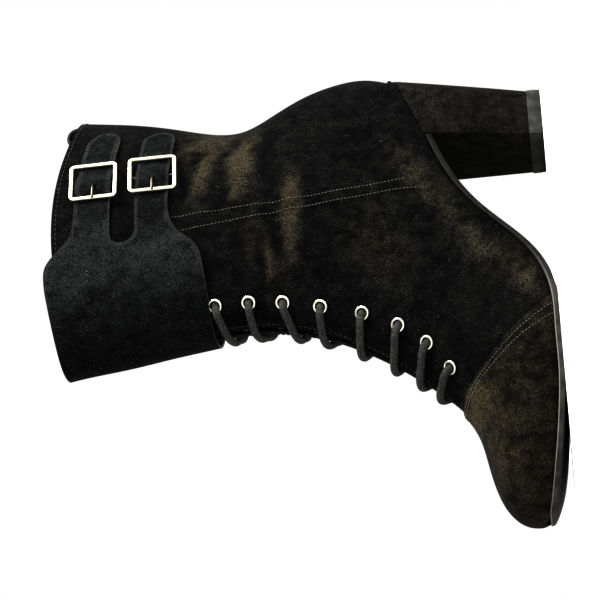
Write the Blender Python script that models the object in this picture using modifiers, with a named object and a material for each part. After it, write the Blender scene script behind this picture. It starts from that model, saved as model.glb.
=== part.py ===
"""Left foot of a victorian style lace up boot: suede upper, block heel, laces and a buckled cuff.

+X is the wearer's left (the outer side of this left boot), -Y the toe, +Z up.
The origin is the centre of the heel's ground face. The tables and sizes are in millimetres.
"""
import math

import bmesh
import bpy
import numpy as np
from mathutils import Matrix, Vector, geometry

MM = 0.001
NAME = "victorian_lace_up_boot"

# Driving sizes
LENGTH = 246.0
BALL_WIDTH = 80.0
TOPLINE = 247.0
ORIGIN_S = 13.5
WALL = 1.7
GAP = 0.3
SEAT_GAP = 0.4
TONGUE_GAP = 0.7
SOLE_THICKNESS = 3.0

# The tables are drawn for this size of last and graded to the driving sizes
DRAWN = {"length": 246.0, "ball": 80.0, "topline": 247.0}
GRADE_S = LENGTH / DRAWN["length"]
GRADE_X = BALL_WIDTH / DRAWN["ball"]
GRADE_Z = TOPLINE / DRAWN["topline"]

# Sections of the last from the top edge to the toe tip. Each is a plane across the boot that
# runs from a point on the back, or on the feather line of the sole, to a point on the front.
# s is the distance toward the toe, z the height, swell how far the wall stands out from the
# feather line, widest the place of the greatest width, and crown a rise in the middle.
SECTION_COLUMNS = ("front_s", "front_z", "back_s", "back_z", "swell_out", "swell_in",
                   "ridge_x", "widest", "low_shape", "top_shape", "crown")
SECTIONS = (
    ("above",       132.6, 264.0, -15.6, 261.0, 6.8, 6.8,  0.0, 0.50, 1.00, 0.98, 8.6),
    ("collar",      129.8, 250.0, -13.4, 247.0, 6.5, 6.5,  0.0, 0.50, 1.00, 0.98, 7.4),
    ("cuff",        126.0, 223.0, -10.0, 223.0, 6.5, 6.5,  0.0, 0.50, 1.00, 0.98, 4.5),
    ("shaft",       121.8, 197.0,  -4.4, 197.0, 5.5, 5.5,  0.0, 0.50, 1.00, 0.98, 2.0),
    ("shaft_low",   118.2, 173.0,   1.6, 173.0, 4.8, 4.8,  0.0, 0.50, 1.00, 0.98, 0.5),
    ("waist",       116.8, 153.0,   1.2, 156.0, 4.8, 4.8,  0.0, 0.48, 1.00, 0.98, 0.0),
    ("ankle",       118.4, 137.0,  -6.6, 141.0, 5.4, 5.4,  0.0, 0.45, 1.00, 0.98, 0.0),
    ("ankle_low",   121.4, 124.8, -15.2, 124.0, 5.8, 5.8, -0.5, 0.42, 0.98, 1.00, 0.0),
    ("counter",     124.6, 115.6, -20.6, 104.5, 5.4, 5.4, -0.8, 0.40, 0.94, 1.02, 0.0),
    ("counter_low", 127.0, 110.2, -20.6,  89.5, 4.6, 4.6, -1.0, 0.38, 0.88, 1.04, 0.0),
    ("heel_back",   128.8, 106.4, -16.5,  78.5, 4.0, 4.0, -1.2, 0.36, 0.80, 1.05, 0.0),
    ("heel_round",  129.8, 104.2, -14.6,  77.6, 4.0, 4.0, -1.2, 0.35, 0.82, 1.05, 0.0),
    ("heel_seat",   131.8, 100.4,  -8.0,  74.8, 4.0, 4.0, -1.4, 0.33, 0.88, 1.06, 0.0),
    ("heel_mid",    134.8,  94.8,   6.0,  68.8, 4.0, 4.0, -1.6, 0.31, 0.92, 1.08, 0.0),
    ("breast",      138.8,  87.6,  25.0,  61.0, 3.8, 3.8, -2.0, 0.29, 0.92, 1.10, 0.0),
    ("shank",       144.6,  78.4,  48.0,  51.6, 3.4, 4.6, -2.6, 0.28, 0.92, 1.12, 0.0),
    ("arch",        150.6,  70.0,  72.0,  36.0, 3.0, 5.4, -3.2, 0.27, 0.92, 1.14, 0.0),
    ("instep",      157.0,  61.8,  97.0,  14.4, 2.6, 4.6, -3.8, 0.27, 0.92, 1.16, 0.0),
    ("ball_back",   164.6,  53.4, 122.0,   4.0, 2.2, 3.0, -4.4, 0.27, 0.92, 1.18, 0.0),
    ("ball",        173.2,  46.6, 145.0,   3.2, 2.2, 2.4, -5.0, 0.27, 0.92, 1.18, 0.0),
    ("vamp",        183.2,  42.0, 165.0,   3.2, 2.2, 2.4, -5.4, 0.28, 0.92, 1.14, 0.0),
    ("toe_back",    195.0,  39.2, 183.0,   4.8, 2.2, 2.4, -5.8, 0.30, 0.92, 1.08, 0.0),
    ("toe_box",     205.4,  36.8, 197.5,   7.0, 2.2, 2.3, -6.2, 0.32, 0.92, 1.04, 0.0),
    ("toe_front",   214.4,  33.6, 209.5,   9.4, 2.1, 2.1, -6.6, 0.35, 0.94, 1.00, 0.0),
    ("toe_round",   220.6,  29.6, 217.0,  11.2, 1.8, 1.8, -7.0, 0.38, 0.96, 1.00, 0.0),
    ("toe_tip",     224.6,  24.6, 221.6,  12.4, 1.4, 1.4, -7.3, 0.42, 0.98, 1.00, 0.0),
    ("toe_end",     226.0,  18.4, 224.0,  13.2, 0.8, 0.8, -7.6, 0.46, 1.00, 1.00, 0.0),
)
ROW = {section[0]: float(number) for number, section in enumerate(SECTIONS)}

# Plan of the feather line, where the upper meets the sole: s, the centre, the half width and the
# welt, which is how far the sole stands out
PLAN = (
    (-16.5,  0.0, 26.5, 2.6),
    ( 14.0,  0.0, 26.5, 2.6),
    ( 30.0,  0.3, 26.8, 2.6),
    ( 50.0,  1.2, 26.4, 2.6),
    ( 72.0,  2.4, 27.2, 2.6),
    ( 92.0,  2.8, 30.6, 2.8),
    (110.0,  2.2, 35.0, 3.0),
    (130.0,  0.8, 38.8, 3.4),
    (148.0, -1.0, 40.2, 3.8),
    (165.0, -2.6, 39.6, 4.1),
    (183.0, -4.2, 37.6, 4.2),
    (197.0, -5.4, 35.4, 4.2),
    (210.0, -6.4, 33.0, 4.2),
    (225.5, -7.6, 28.0, 4.2),
)
HEEL_ROUND_FROM, HEEL_REAR, HEEL_POWER = 14.0, -16.5, 2.3
TOE_ROUND_FROM, TOE_TIP, TOE_POWER = 168.0, 225.2, 2.2

# Block heel
TOP_LIFT = 7.0
HEEL_BASE = {"rear": -3.0, "front": 30.0, "half": 22.0}
HEEL_TOP = {"rear": -15.8, "front": 27.0, "half": 28.2}
BREAST_S = 27.6

# Throat and lacing: each eyelet has its section row and its distance from the ridge
THROAT_END_ROW = 17.75
THROAT_HALF = {"top": 4.5, "end": 1.6}
LACE_RADIUS = 1.9
EYELET_RING, EYELET_WIRE = 3.05, 0.8
EYELETS = (
    (4.02, 22.0),
    (4.89, 20.8),
    (5.97, 20.4),
    (7.56, 20.8),
    (12.00, 22.9),
    (14.45, 25.2),
    (15.88, 25.2),
    (17.10, 22.2),
)
INNER_STAGGER = 8.5
LAST_INNER_ROW = 17.45

# Toe cap seam
CAP_SEAM_ROW, CAP_SEAM_AT_RIDGE = 18.2, 0.3
CAP_THICKNESS = 1.1
CAP_FOOT, CAP_FOOT_AT_TIP = 0.06, 0.13
TOE_LAST_ROW = 25.6
SIDE_COLUMNS = 16

# Cuff: its flat pattern is measured across from the ridge (outer side positive) and in height
CUFF_THICKNESS = 1.4
CUFF_TOP, CUFF_BOTTOM = 252.0, 175.0
CUFF_INNER_LOW, CUFF_INNER_HIGH = -124.0, -150.0
STRAP_HALF = 8.0
STRAPS = (
    {"name": "upper", "height": 228.4, "tip": 137.0, "buckle": 101.0, "tilt": 6.0},
    {"name": "lower", "height": 200.4, "tip": 131.0, "buckle": 98.0, "tilt": 5.0},
)
STRAP_ROOT = 64.0
SEWN_LIFT, CUFF_LIFT, STRAP_LIFT = 0.9, 2.3, 1.6
STRAP_BUMP, BUMP_LENGTH = 1.6, 4.0
PRONG_HOLE_AT, PRONG_HOLE_RADIUS = 1.95, 1.5

# Buckles
FRAME_ACROSS, FRAME_ALONG, FRAME_BAR, FRAME_THICKNESS = 25.0, 21.0, 2.3, 1.8
FRAME_CENTRE_LIFT = 4.2
CENTRE_BAR_RADIUS, CENTRE_BAR_LIFT, CENTRE_BAR_BEND = 0.65, 2.25, 11.0
PRONG_RADIUS = 0.6

SUEDE = ("suede", (0.012, 0.011, 0.010), 0.95, 0.0)
WARM_SUEDE = ("warm_suede", (0.020, 0.015, 0.010), 0.95, 0.0)
CUFF_SUEDE = ("cuff_suede", (0.012, 0.014, 0.012), 0.9, 0.0)
LINING = ("lining", (0.020, 0.018, 0.016), 0.8, 0.0)
SOLE_RUBBER = ("sole_rubber", (0.10, 0.09, 0.08), 0.7, 0.0)
LIFT_RUBBER = ("lift_rubber", (0.09, 0.09, 0.085), 0.6, 0.0)
LACE_CORD = ("lace_cord", (0.030, 0.030, 0.030), 0.85, 0.0)
SILVER = ("silver_metal", (0.75, 0.71, 0.60), 0.25, 1.0)


def spline(xs, ys, at):
    """Natural cubic spline through the rows of a table."""
    xs, ys = np.asarray(xs, float), np.asarray(ys, float)
    count, step = len(xs), np.diff(xs)
    system, right = np.zeros((count, count)), np.zeros(count)
    system[0, 0] = system[-1, -1] = 1.0
    for i in range(1, count - 1):
        system[i, i - 1:i + 2] = step[i - 1], 2 * (step[i - 1] + step[i]), step[i]
        right[i] = 6 * ((ys[i + 1] - ys[i]) / step[i] - (ys[i] - ys[i - 1]) / step[i - 1])
    bend = np.linalg.solve(system, right)
    at = np.clip(at, xs[0], xs[-1])
    i = np.clip(np.searchsorted(xs, at, side="right") - 1, 0, count - 2)
    after, before = xs[i + 1] - at, at - xs[i]
    cubic = (bend[i] * after ** 3 + bend[i + 1] * before ** 3) / (6 * step[i])
    return (cubic + (ys[i] / step[i] - bend[i] * step[i] / 6) * after
            + (ys[i + 1] / step[i] - bend[i + 1] * step[i] / 6) * before)


def column(name, row):
    """A column of the section table at any row, graded to the driving sizes."""
    place = SECTION_COLUMNS.index(name) + 1
    grade = {"s": GRADE_S, "z": GRADE_Z, "t": GRADE_X, "n": GRADE_X}.get(name[-1], 1.0)
    values = [section[place] for section in SECTIONS]
    return grade * spline(range(len(SECTIONS)), values, row)


def plan(s, rounded=True):
    """Centre and half width of the feather line; without the heel's round end if not rounded."""
    s = np.asarray(s, float) / GRADE_S
    rows = np.array(PLAN)
    centre = spline(rows[:, 0], rows[:, 1], s)
    half = spline(rows[:, 0], rows[:, 2], s)
    toe = np.clip((s - TOE_ROUND_FROM) / (TOE_TIP - TOE_ROUND_FROM), 0, 1)
    half = half * (1 - toe ** TOE_POWER) ** 0.5
    if rounded:
        heel = np.clip((HEEL_ROUND_FROM - s) / (HEEL_ROUND_FROM - HEEL_REAR), 0, 1)
        half = half * (1 - heel ** HEEL_POWER) ** (1 / HEEL_POWER)
    return centre * GRADE_X, half * GRADE_X


def surface(row, around):
    """Outer face of the upper in millimetres.

    around is 0 at the back seam or outer feather line, 0.5 at the ridge of the front and 1 at the
    back seam or inner feather line.
    """
    row, around = np.broadcast_arrays(np.asarray(row, float), np.asarray(around, float))
    section = {name: column(name, row) for name in SECTION_COLUMNS}
    side = np.where(around < 0.5, 1.0, -1.0)
    way = np.clip(np.where(around < 0.5, around, 1.0 - around), 0.0, 0.5)
    centre, wide = plan(section["back_s"], rounded=False)
    edge = plan(section["back_s"])[1]
    swell = np.where(side > 0, section["swell_out"], section["swell_in"])
    half = side * centre + wide + swell
    edge = np.where(row < ROW["heel_back"], 0.0, side * centre * (edge > 0) + edge)
    split = 0.1 + 0.3 * section["widest"]
    low = np.clip(way / split, 0, 1) * math.pi / 2
    top = np.clip((way - split) / (0.5 - split), 0, 1) * math.pi / 2
    ridge = section["ridge_x"] * side
    cos_low, cos_top = np.clip(np.cos(low), 0, 1), np.clip(np.cos(top), 0, 1)
    low_x = edge + (half - edge) * np.sin(low) ** section["low_shape"]
    top_x = ridge + (half - ridge) * cos_top ** section["top_shape"]
    low_t = section["widest"] * (1 - cos_low ** section["low_shape"])
    top_t = section["widest"] + (1 - section["widest"]) * np.sin(top) ** section["top_shape"]
    t = np.where(way <= split, low_t, top_t)
    x = np.where(way <= split, low_x, top_x)
    s = section["back_s"] + (section["front_s"] - section["back_s"]) * t
    z = section["back_z"] + (section["front_z"] - section["back_z"]) * t
    z = z + section["crown"] * np.sin(math.pi * t) ** 1.5
    return np.stack([side * x, ORIGIN_S - s, z], axis=-1)


def outward(row, around, step=0.004):
    """Unit normal of the outer face."""
    down = surface(row + step, around) - surface(row - step, around)
    across = surface(row, np.asarray(around) + step) - surface(row, np.asarray(around) - step)
    normal = np.cross(across, down)
    return normal / np.linalg.norm(normal, axis=-1, keepdims=True)


def lifted(row, around, lift):
    """Point at a height above the outer face; a negative lift is inside the wall."""
    lift = np.asarray(lift, float)
    return surface(row, around) + lift[..., None] * outward(row, around)


def even_rows(first, last, count):
    """Rows at even distances along the boot."""
    fine = np.linspace(first, last, 300)
    travelled = np.zeros(300)
    for around in (0.0, 0.25, 0.5):
        steps = np.linalg.norm(np.diff(surface(fine, around), axis=0), axis=1)
        travelled[1:] += np.cumsum(steps)
    return np.interp(np.linspace(0, travelled[-1], count), travelled, fine)


def around_from_ridge(row, distance):
    """Place around a section at a distance from the ridge, positive on the outer side."""
    end = 0.0 if distance >= 0 else 1.0
    fine = np.linspace(0.5, end, 160)
    steps = np.linalg.norm(np.diff(surface(row, fine), axis=0), axis=1)
    travelled = np.concatenate([[0.0], np.cumsum(steps)])
    return float(np.interp(abs(distance), travelled, fine))


def row_at_height(height):
    """Section row of the shaft at a height on the back seam."""
    fine = np.linspace(0.0, ROW["ankle_low"], 200)
    heights = column("back_z", fine)
    return float(np.interp(-height, -heights, fine))


def feather_height(s):
    """Height of the feather line at a distance toward the toe."""
    fine = np.linspace(ROW["heel_back"], ROW["toe_end"], 400)
    return np.interp(s, column("back_s", fine), column("back_z", fine))


def feather_outline(first, last, count, stands_out):
    """Outer and inner edge of the foot's plan as rows of x and s, offset along its normals."""
    share = (1 - np.cos(np.linspace(0, math.pi, count))) / 2
    s = first + (last - first) * share
    edges = []
    for side in (1.0, -1.0):
        centre, half = plan(s)
        x = centre + side * half
        run = np.gradient(s)
        rise = np.gradient(x)
        length = np.hypot(run, rise)
        out_x, out_s = side * run / length, -side * rise / length
        rows = np.array(PLAN)
        margin = spline(rows[:, 0], rows[:, 3], s) if stands_out is None else stands_out
        edges.append(np.stack([x + margin * out_x, s + margin * out_s], axis=-1))
    return edges


def material(look):
    """Principled material from a name, colour, roughness and metallic value."""
    name, colour, roughness, metallic = look
    found = bpy.data.materials.get(name)
    if found:
        return found
    made = bpy.data.materials.new(name)
    made.use_nodes = True
    shader = made.node_tree.nodes["Principled BSDF"]
    shader.inputs["Base Color"].default_value = (*colour, 1.0)
    shader.inputs["Roughness"].default_value = roughness
    shader.inputs["Metallic"].default_value = metallic
    return made


def collect(thing, look, collection):
    """Give an object its material and put it in the collection."""
    for old in list(thing.users_collection):
        old.objects.unlink(thing)
    collection.objects.link(thing)
    thing.data.materials.clear()
    thing.data.materials.append(material(look))
    return thing


def mesh_object(name, points, faces, look, collection, smooth=True):
    """Mesh from points in millimetres, its coincident points welded."""
    mesh = bpy.data.meshes.new(name)
    mesh.from_pydata([tuple(point) for point in np.asarray(points, float) * MM], [], faces)
    cage = bmesh.new()
    cage.from_mesh(mesh)
    bmesh.ops.remove_doubles(cage, verts=cage.verts, dist=0.00003)
    cage.to_mesh(mesh)
    cage.free()
    if smooth:
        mesh.shade_smooth()
        mesh.set_sharp_from_angle(angle=math.radians(50))
    return collect(bpy.data.objects.new(name, mesh), look, collection)


def solidify(thing, thickness, side):
    """Turn an open sheet into a wall; side 1 grows outward and -1 inward."""
    wall = thing.modifiers.new("wall", "SOLIDIFY")
    wall.thickness = thickness * MM
    wall.offset = side
    return thing


def grid_faces(rows, columns, skip=None):
    """Quads of a grid whose points are listed row by row."""
    faces = []
    for i in range(rows - 1):
        for j in range(columns - 1):
            if skip is None or not skip(i, j):
                corner = i * columns + j
                faces.append((corner, corner + 1, corner + columns + 1, corner + columns))
    return faces


def grid_object(name, points, look, collection):
    """Sheet from a rows by columns array of points."""
    rows, columns = points.shape[:2]
    return mesh_object(name, points.reshape(-1, 3), grid_faces(rows, columns), look, collection)


def tube(name, points, radius, look, collection, sides=2):
    """Round bar along points in millimetres."""
    curve = bpy.data.curves.new(name, "CURVE")
    curve.dimensions = "3D"
    curve.bevel_depth = radius * MM
    curve.bevel_resolution = sides
    curve.use_fill_caps = True
    spline_points = curve.splines.new("POLY").points
    spline_points.add(len(points) - 1)
    for target, point in zip(spline_points, points):
        target.co = (*(np.asarray(point, float) * MM), 1.0)
    return collect(bpy.data.objects.new(name, curve), look, collection)


def through(points, count):
    """Smooth route read from a few points chosen along it."""
    points = np.asarray(points, float)
    steps = np.linalg.norm(np.diff(points, axis=0), axis=1)
    travelled = np.concatenate([[0.0], np.cumsum(steps)])
    at = np.linspace(0, travelled[-1], count)
    return np.stack([spline(travelled, points[:, axis], at) for axis in range(3)], axis=-1)


def throat_half(row):
    """Half width of the throat, narrowing below the ankle toward its end."""
    share = np.clip((row - ROW["ankle_low"]) / (THROAT_END_ROW - ROW["ankle_low"]), 0, 1)
    return THROAT_HALF["top"] + (THROAT_HALF["end"] - THROAT_HALF["top"]) * share ** 2


def wall_columns(row):
    """Places around a section where the wall's facets meet, on both sides of the throat."""
    across = np.linalg.norm(surface(row, 0.5) - surface(row, 0.49)) / 0.01
    gap = float(throat_half(row) / across)
    outer = np.linspace(0.0, 0.5 - gap, SIDE_COLUMNS + 1)
    return np.concatenate([outer, 1.0 - outer[::-1]])


def toe_rows():
    """Section rows of the wall from the cap's seam to the toe tip."""
    return even_rows(CAP_SEAM_ROW, TOE_LAST_ROW, 9)


def build_upper(collection):
    """One hollow wall of suede, open at the collar, the throat and underneath."""
    shaft = even_rows(ROW["collar"], ROW["heel_back"], 11)
    heel = ROW["heel_back"] + np.array([0.35, 0.9, 1.5, 2.2, 3.0, 4.0])
    foot = even_rows(ROW["breast"], THROAT_END_ROW, 7)[1:]
    rows = np.concatenate([shaft, heel, foot, toe_rows()])
    throat_rows = len(shaft) + len(heel) + len(foot)
    points = np.array([surface(row, wall_columns(row)) for row in rows])
    columns = points.shape[1]

    def throat(i, j):
        return j == SIDE_COLUMNS and i < throat_rows - 1

    faces = grid_faces(len(rows), columns, throat)
    last = (len(rows) - 1) * columns
    faces.append(tuple(range(last, last + columns)))
    upper = mesh_object("upper", points.reshape(-1, 3), faces, SUEDE, collection)
    return solidify(upper, WALL, -1)


def build_toe_cap(collection):
    """Vamp cap that overlaps the upper from its seam behind the ball to the toe tip."""
    points = []
    for row in toe_rows():
        spare = wall_columns(row)[2:-2]
        foot = CAP_FOOT + (CAP_FOOT_AT_TIP - CAP_FOOT) * np.clip((row - ROW["toe_front"]) / 2.0, 0, 1)
        outer = np.linspace(foot, spare[len(spare) // 2 - 1], len(spare) // 2)
        around = np.concatenate([outer, 1 - outer[::-1]])
        way = 1 - abs(2 * around - 1)
        seam = CAP_SEAM_AT_RIDGE * np.clip((way - 0.6) / 0.4, 0, 1) ** 2 * (row == CAP_SEAM_ROW)
        points.append(lifted(row + seam, around, np.full(len(around), GAP)))
    points = np.array(points)
    columns = points.shape[1]
    faces = grid_faces(len(points), columns)
    last = (len(points) - 1) * columns
    faces.append(tuple(range(last, last + columns)))
    cap = mesh_object("toe_cap", points.reshape(-1, 3), faces, WARM_SUEDE, collection)
    return solidify(cap, CAP_THICKNESS, 1)


def build_tongue(collection):
    """Soft strip behind the throat, from under the vamp to the topline."""
    half_width, thickness = 17.0, 1.4
    rows = even_rows(ROW["collar"] - 0.1, CAP_SEAM_ROW + 0.4, 18)
    points = []
    for row in rows:
        distances = np.linspace(half_width, -half_width, 9)
        around = np.array([around_from_ridge(row, distance) for distance in distances])
        points.append(lifted(np.full(9, row), around, np.full(9, -WALL - TONGUE_GAP)))
    tongue = grid_object("tongue", np.array(points), LINING, collection)
    return solidify(tongue, thickness, -1)


def plate(name, edges, top, bottom, look, collection):
    """Closed plate between two plan edges, with a top and a bottom height for each point."""
    points = []
    for height in (top, bottom):
        for edge in edges:
            x, s = edge[:, 0], edge[:, 1]
            points.append(np.stack([x, ORIGIN_S - s, height(s)], axis=-1))
    count = len(edges[0])
    outer_top, inner_top, outer_low, inner_low = (number * count for number in range(4))
    faces = []
    for i in range(count - 1):
        faces.append((outer_top + i, inner_top + i, inner_top + i + 1, outer_top + i + 1))
        faces.append((outer_low + i, outer_low + i + 1, inner_low + i + 1, inner_low + i))
        faces.append((outer_top + i, outer_top + i + 1, outer_low + i + 1, outer_low + i))
        faces.append((inner_top + i, inner_low + i, inner_low + i + 1, inner_top + i + 1))
    for i, flip in ((0, 1), (count - 1, -1)):
        end = (outer_top + i, outer_low + i, inner_low + i, inner_top + i)
        faces.append(end[::flip])
    return mesh_object(name, np.concatenate(points), faces, look, collection)


def build_outsole(collection):
    """Thin sole from the heel's breast to the toe, flat where the ball stands."""
    edges = feather_outline(BREAST_S, TOE_TIP - 0.01, 34, None)
    top_height = lambda s: feather_height(s) - SEAT_GAP
    low_height = lambda s: np.maximum(top_height(s) - SOLE_THICKNESS, 0.0)
    return plate("outsole", edges, top_height, low_height, SOLE_RUBBER, collection)


def build_insole(collection):
    """Inner board from the heel seat to the toe, inside the wall."""
    inset, thickness = 2.6, 2.2
    edges = feather_outline(HEEL_REAR + 0.01, TOE_TIP - 3.5, 30, -inset)
    low_height = lambda s: feather_height(s)
    top_height = lambda s: feather_height(s) + thickness
    return plate("insole", edges, top_height, low_height, LINING, collection)


def heel_ring(rear, front, half, count=11):
    """Outline of the heel at one level: round back, straight sides and flat breast."""
    share = np.linspace(0, 1, count) ** 1.7
    s = rear + (front - rear) * share
    round_length = 0.6 * (front - rear)
    back = np.clip(1 - (s - rear) / round_length, 0, 1)
    x = half * (1 - back ** 2.5) ** (1 / 2.5)
    outer = np.stack([x, s], axis=-1)
    inner = np.stack([-x[1:], s[1:]], axis=-1)[::-1]
    return np.concatenate([outer, inner])


def loft(name, rings, look, collection):
    """Closed solid through rings that start at the rear point and mirror about it."""
    count = len(rings[0])
    faces = []
    for level in range(len(rings) - 1):
        for i in range(count):
            low, high = level * count, (level + 1) * count
            after = (i + 1) % count
            faces.append((low + i, high + i, high + after, low + after))
    for level, flip in ((0, 1), (len(rings) - 1, -1)):
        start = level * count
        for i in range(1, count // 2):
            faces.append((start + i, start + i + 1, start + count - i - 1, start + count - i)[::flip])
        faces.append((start, start + 1, start + count - 1)[::flip])
    return mesh_object(name, np.concatenate(rings), faces, look, collection)


def build_heel(collection):
    """Suede covered block, its top cut to the slope of the heel seat."""
    rings = []
    for share in np.linspace(0, 1, 6):
        size = {key: HEEL_BASE[key] + (HEEL_TOP[key] - HEEL_BASE[key]) * share for key in HEEL_BASE}
        ring = heel_ring(size["rear"], size["front"], size["half"])
        base = TOP_LIFT + GAP
        seat = feather_height(ring[:, 1]) - SEAT_GAP
        z = base + (seat - base) * share
        rings.append(np.stack([ring[:, 0], ORIGIN_S - ring[:, 1], z], axis=-1))
    return loft("heel", rings, SUEDE, collection)


def build_top_lift(collection):
    """Rubber lift that the heel stands on, a little proud of the block."""
    proud = 0.4
    ring = heel_ring(HEEL_BASE["rear"] - proud, HEEL_BASE["front"] + proud, HEEL_BASE["half"] + proud)
    rings = [np.stack([ring[:, 0], ORIGIN_S - ring[:, 1], np.full(len(ring), z)], axis=-1)
             for z in (0.0, TOP_LIFT)]
    return loft("top_lift", rings, LIFT_RUBBER, collection)


def cuff_lift(across, height):
    """Height of the cuff's inner face above the upper, raised over each buckle's centre bar."""
    sewn = np.clip((across - CUFF_INNER_LOW) / 60.0, 0, 1)
    lift = SEWN_LIFT + (CUFF_LIFT - SEWN_LIFT) * sewn ** 2 * (3 - 2 * sewn)
    strap_part = np.clip((across - 45.0) / 25.0, 0, 1)
    lift = lift + (STRAP_LIFT - CUFF_LIFT) * strap_part ** 2 * (3 - 2 * strap_part)
    tip = np.clip((across - 118.0) / 10.0, 0, 1)
    lift = lift - (STRAP_LIFT - SEWN_LIFT) * tip
    for strap in STRAPS:
        near = np.exp(-((height - strap["height"]) / 16.0) ** 8)
        lift = lift + near * STRAP_BUMP * np.exp(-((across - strap["buckle"]) / BUMP_LENGTH) ** 4)
    return lift


def arc(centre, radius, start, end, count):
    """Points of an arc in the cuff's flat pattern, angles in degrees."""
    angles = np.radians(np.linspace(start, end, count))
    return [(centre[0] + radius * math.cos(a), centre[1] + radius * math.sin(a)) for a in angles]


def strap_stations(strap):
    """Distances from the ridge where a strap bends, closest together at its centre bar."""
    steps = (-18.0, -13.5, -10.0, -7.0, -4.6, -2.2, 0.0, 2.2, 4.6, 7.0, 10.0, 14.0, 19.0)
    end = strap["tip"] - STRAP_HALF
    return [strap["buckle"] + step for step in steps if strap["buckle"] + step < end - 2.5] + [end]


def cuff_pattern():
    """Outline of the cuff with its two straps and the slot between them."""
    upper, lower = STRAPS
    outline = [(CUFF_INNER_LOW - 1, CUFF_BOTTOM + 4)]
    outline += [(across, CUFF_BOTTOM) for across in np.linspace(CUFF_INNER_LOW + 4, 28.0, 16)]
    outline += [(42.0, 176.0), (51.0, 177.2)]
    low_edge = lower["height"] - STRAP_HALF
    outline += [(57.0, 180.6), (61.5, 185.2), (66.0, 188.8), (72.0, 191.2)]
    outline += [(across, low_edge) for across in strap_stations(lower)]
    outline += arc((lower["tip"] - STRAP_HALF, lower["height"]), STRAP_HALF, -60, 60, 5)
    slot_low, slot_high = lower["height"] + STRAP_HALF, upper["height"] - STRAP_HALF
    outline += [(across, slot_low) for across in reversed(strap_stations(lower))]
    slot_middle, slot_radius = (slot_low + slot_high) / 2, (slot_high - slot_low) / 2
    outline += arc((STRAP_ROOT + slot_radius, slot_middle), slot_radius, -120, -240, 5)
    outline += [(across, slot_high) for across in strap_stations(upper)]
    outline += arc((upper["tip"] - STRAP_HALF, upper["height"]), STRAP_HALF, -60, 60, 5)
    high_edge = upper["height"] + STRAP_HALF
    outline += [(across, high_edge) for across in reversed(strap_stations(upper))]
    outline += [(76.0, 237.2), (71.0, 239.6), (67.0, 243.4), (62.0, 248.4), (56.0, 250.8)]
    outline += [(across, CUFF_TOP) for across in np.linspace(46.0, CUFF_INNER_HIGH + 4, 18)]
    seam_across = np.linspace(CUFF_INNER_HIGH, CUFF_INNER_LOW - 1, 7)
    seam_height = np.linspace(CUFF_TOP - 4, CUFF_BOTTOM + 4, 7)
    return outline + list(zip(seam_across, seam_height))[:-1]


def prong_hole(strap, count=8):
    """Hole in a strap where the buckle's prong comes through."""
    centre = (strap["buckle"] - PRONG_HOLE_AT, strap["height"])
    return arc(centre, PRONG_HOLE_RADIUS, 0, 360 * (1 - 1 / count), count)


def inside(point, outline):
    """Whether a point lies inside a closed outline."""
    crossings = False
    for (x0, y0), (x1, y1) in zip(outline, outline[1:] + outline[:1]):
        if (y0 > point[1]) != (y1 > point[1]):
            crossings ^= point[0] < x0 + (x1 - x0) * (point[1] - y0) / (y1 - y0)
    return crossings


def far_from(point, outline, distance):
    """Whether a point keeps a distance from every point of an outline."""
    return all(math.hypot(point[0] - x, point[1] - y) > distance for x, y in outline)


def cuff_points(flat):
    """Lay flat pattern points on the shaft at the cuff's height above it."""
    laid = []
    for across, height in flat:
        row = row_at_height(height)
        around = around_from_ridge(row, across)
        laid.append(lifted(row, around, cuff_lift(across, height)))
    return np.array(laid)


def build_cuff(collection):
    """Wrapped cuff, sewn at the inner side, with two straps to the buckles."""
    outline = cuff_pattern()
    holes = [prong_hole(strap) for strap in STRAPS]
    inner = []
    for across in np.arange(CUFF_INNER_HIGH + 9, 60.0, 10.0):
        for height in np.arange(CUFF_BOTTOM + 9, CUFF_TOP - 6, 11.5):
            inner.append((float(across), float(height)))
    for strap in STRAPS:
        for across in strap_stations(strap):
            inner += [(across, strap["height"] + side) for side in (-4.4, 4.4)]
    inner = [point for point in inner if inside(point, outline)
             and far_from(point, outline, 3.0) and all(far_from(point, hole, 1.6) for hole in holes)]
    flat = outline + holes[0] + holes[1] + inner
    loops, start = [], 0
    for loop in (outline, *holes):
        loops.append(list(range(start, start + len(loop))))
        start += len(loop)
    edges = [(loop[i], loop[(i + 1) % len(loop)]) for loop in loops for i in range(len(loop))]
    result = geometry.delaunay_2d_cdt([Vector(point) for point in flat], edges, [], 0, 1e-4)
    places, triangles = [tuple(point) for point in result[0]], result[2]
    kept = []
    for triangle in triangles:
        middle = tuple(np.mean([places[corner] for corner in triangle], axis=0))
        in_hole = any(inside(middle, hole) for hole in holes)
        if inside(middle, outline) and not in_hole:
            kept.append(tuple(triangle))
    cuff = mesh_object("cuff", cuff_points(places), kept, CUFF_SUEDE, collection)
    return solidify(cuff, CUFF_THICKNESS, 1)


def buckle_place(strap):
    """Frame of a buckle: local x across the strap, y toward its tip and z away from the boot."""
    row = row_at_height(strap["height"])
    around = around_from_ridge(row, strap["buckle"])
    centre, normal = surface(row, around), outward(row, around)
    ahead = surface(row, around_from_ridge(row, strap["buckle"] + 5)) - centre
    along = Vector(ahead) - Vector(normal) * Vector(ahead).dot(Vector(normal))
    along.normalize()
    across = along.cross(Vector(normal))
    place = Matrix((across, along, Vector(normal))).transposed().to_4x4()
    place.translation = Vector(centre) * MM
    return place


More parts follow.
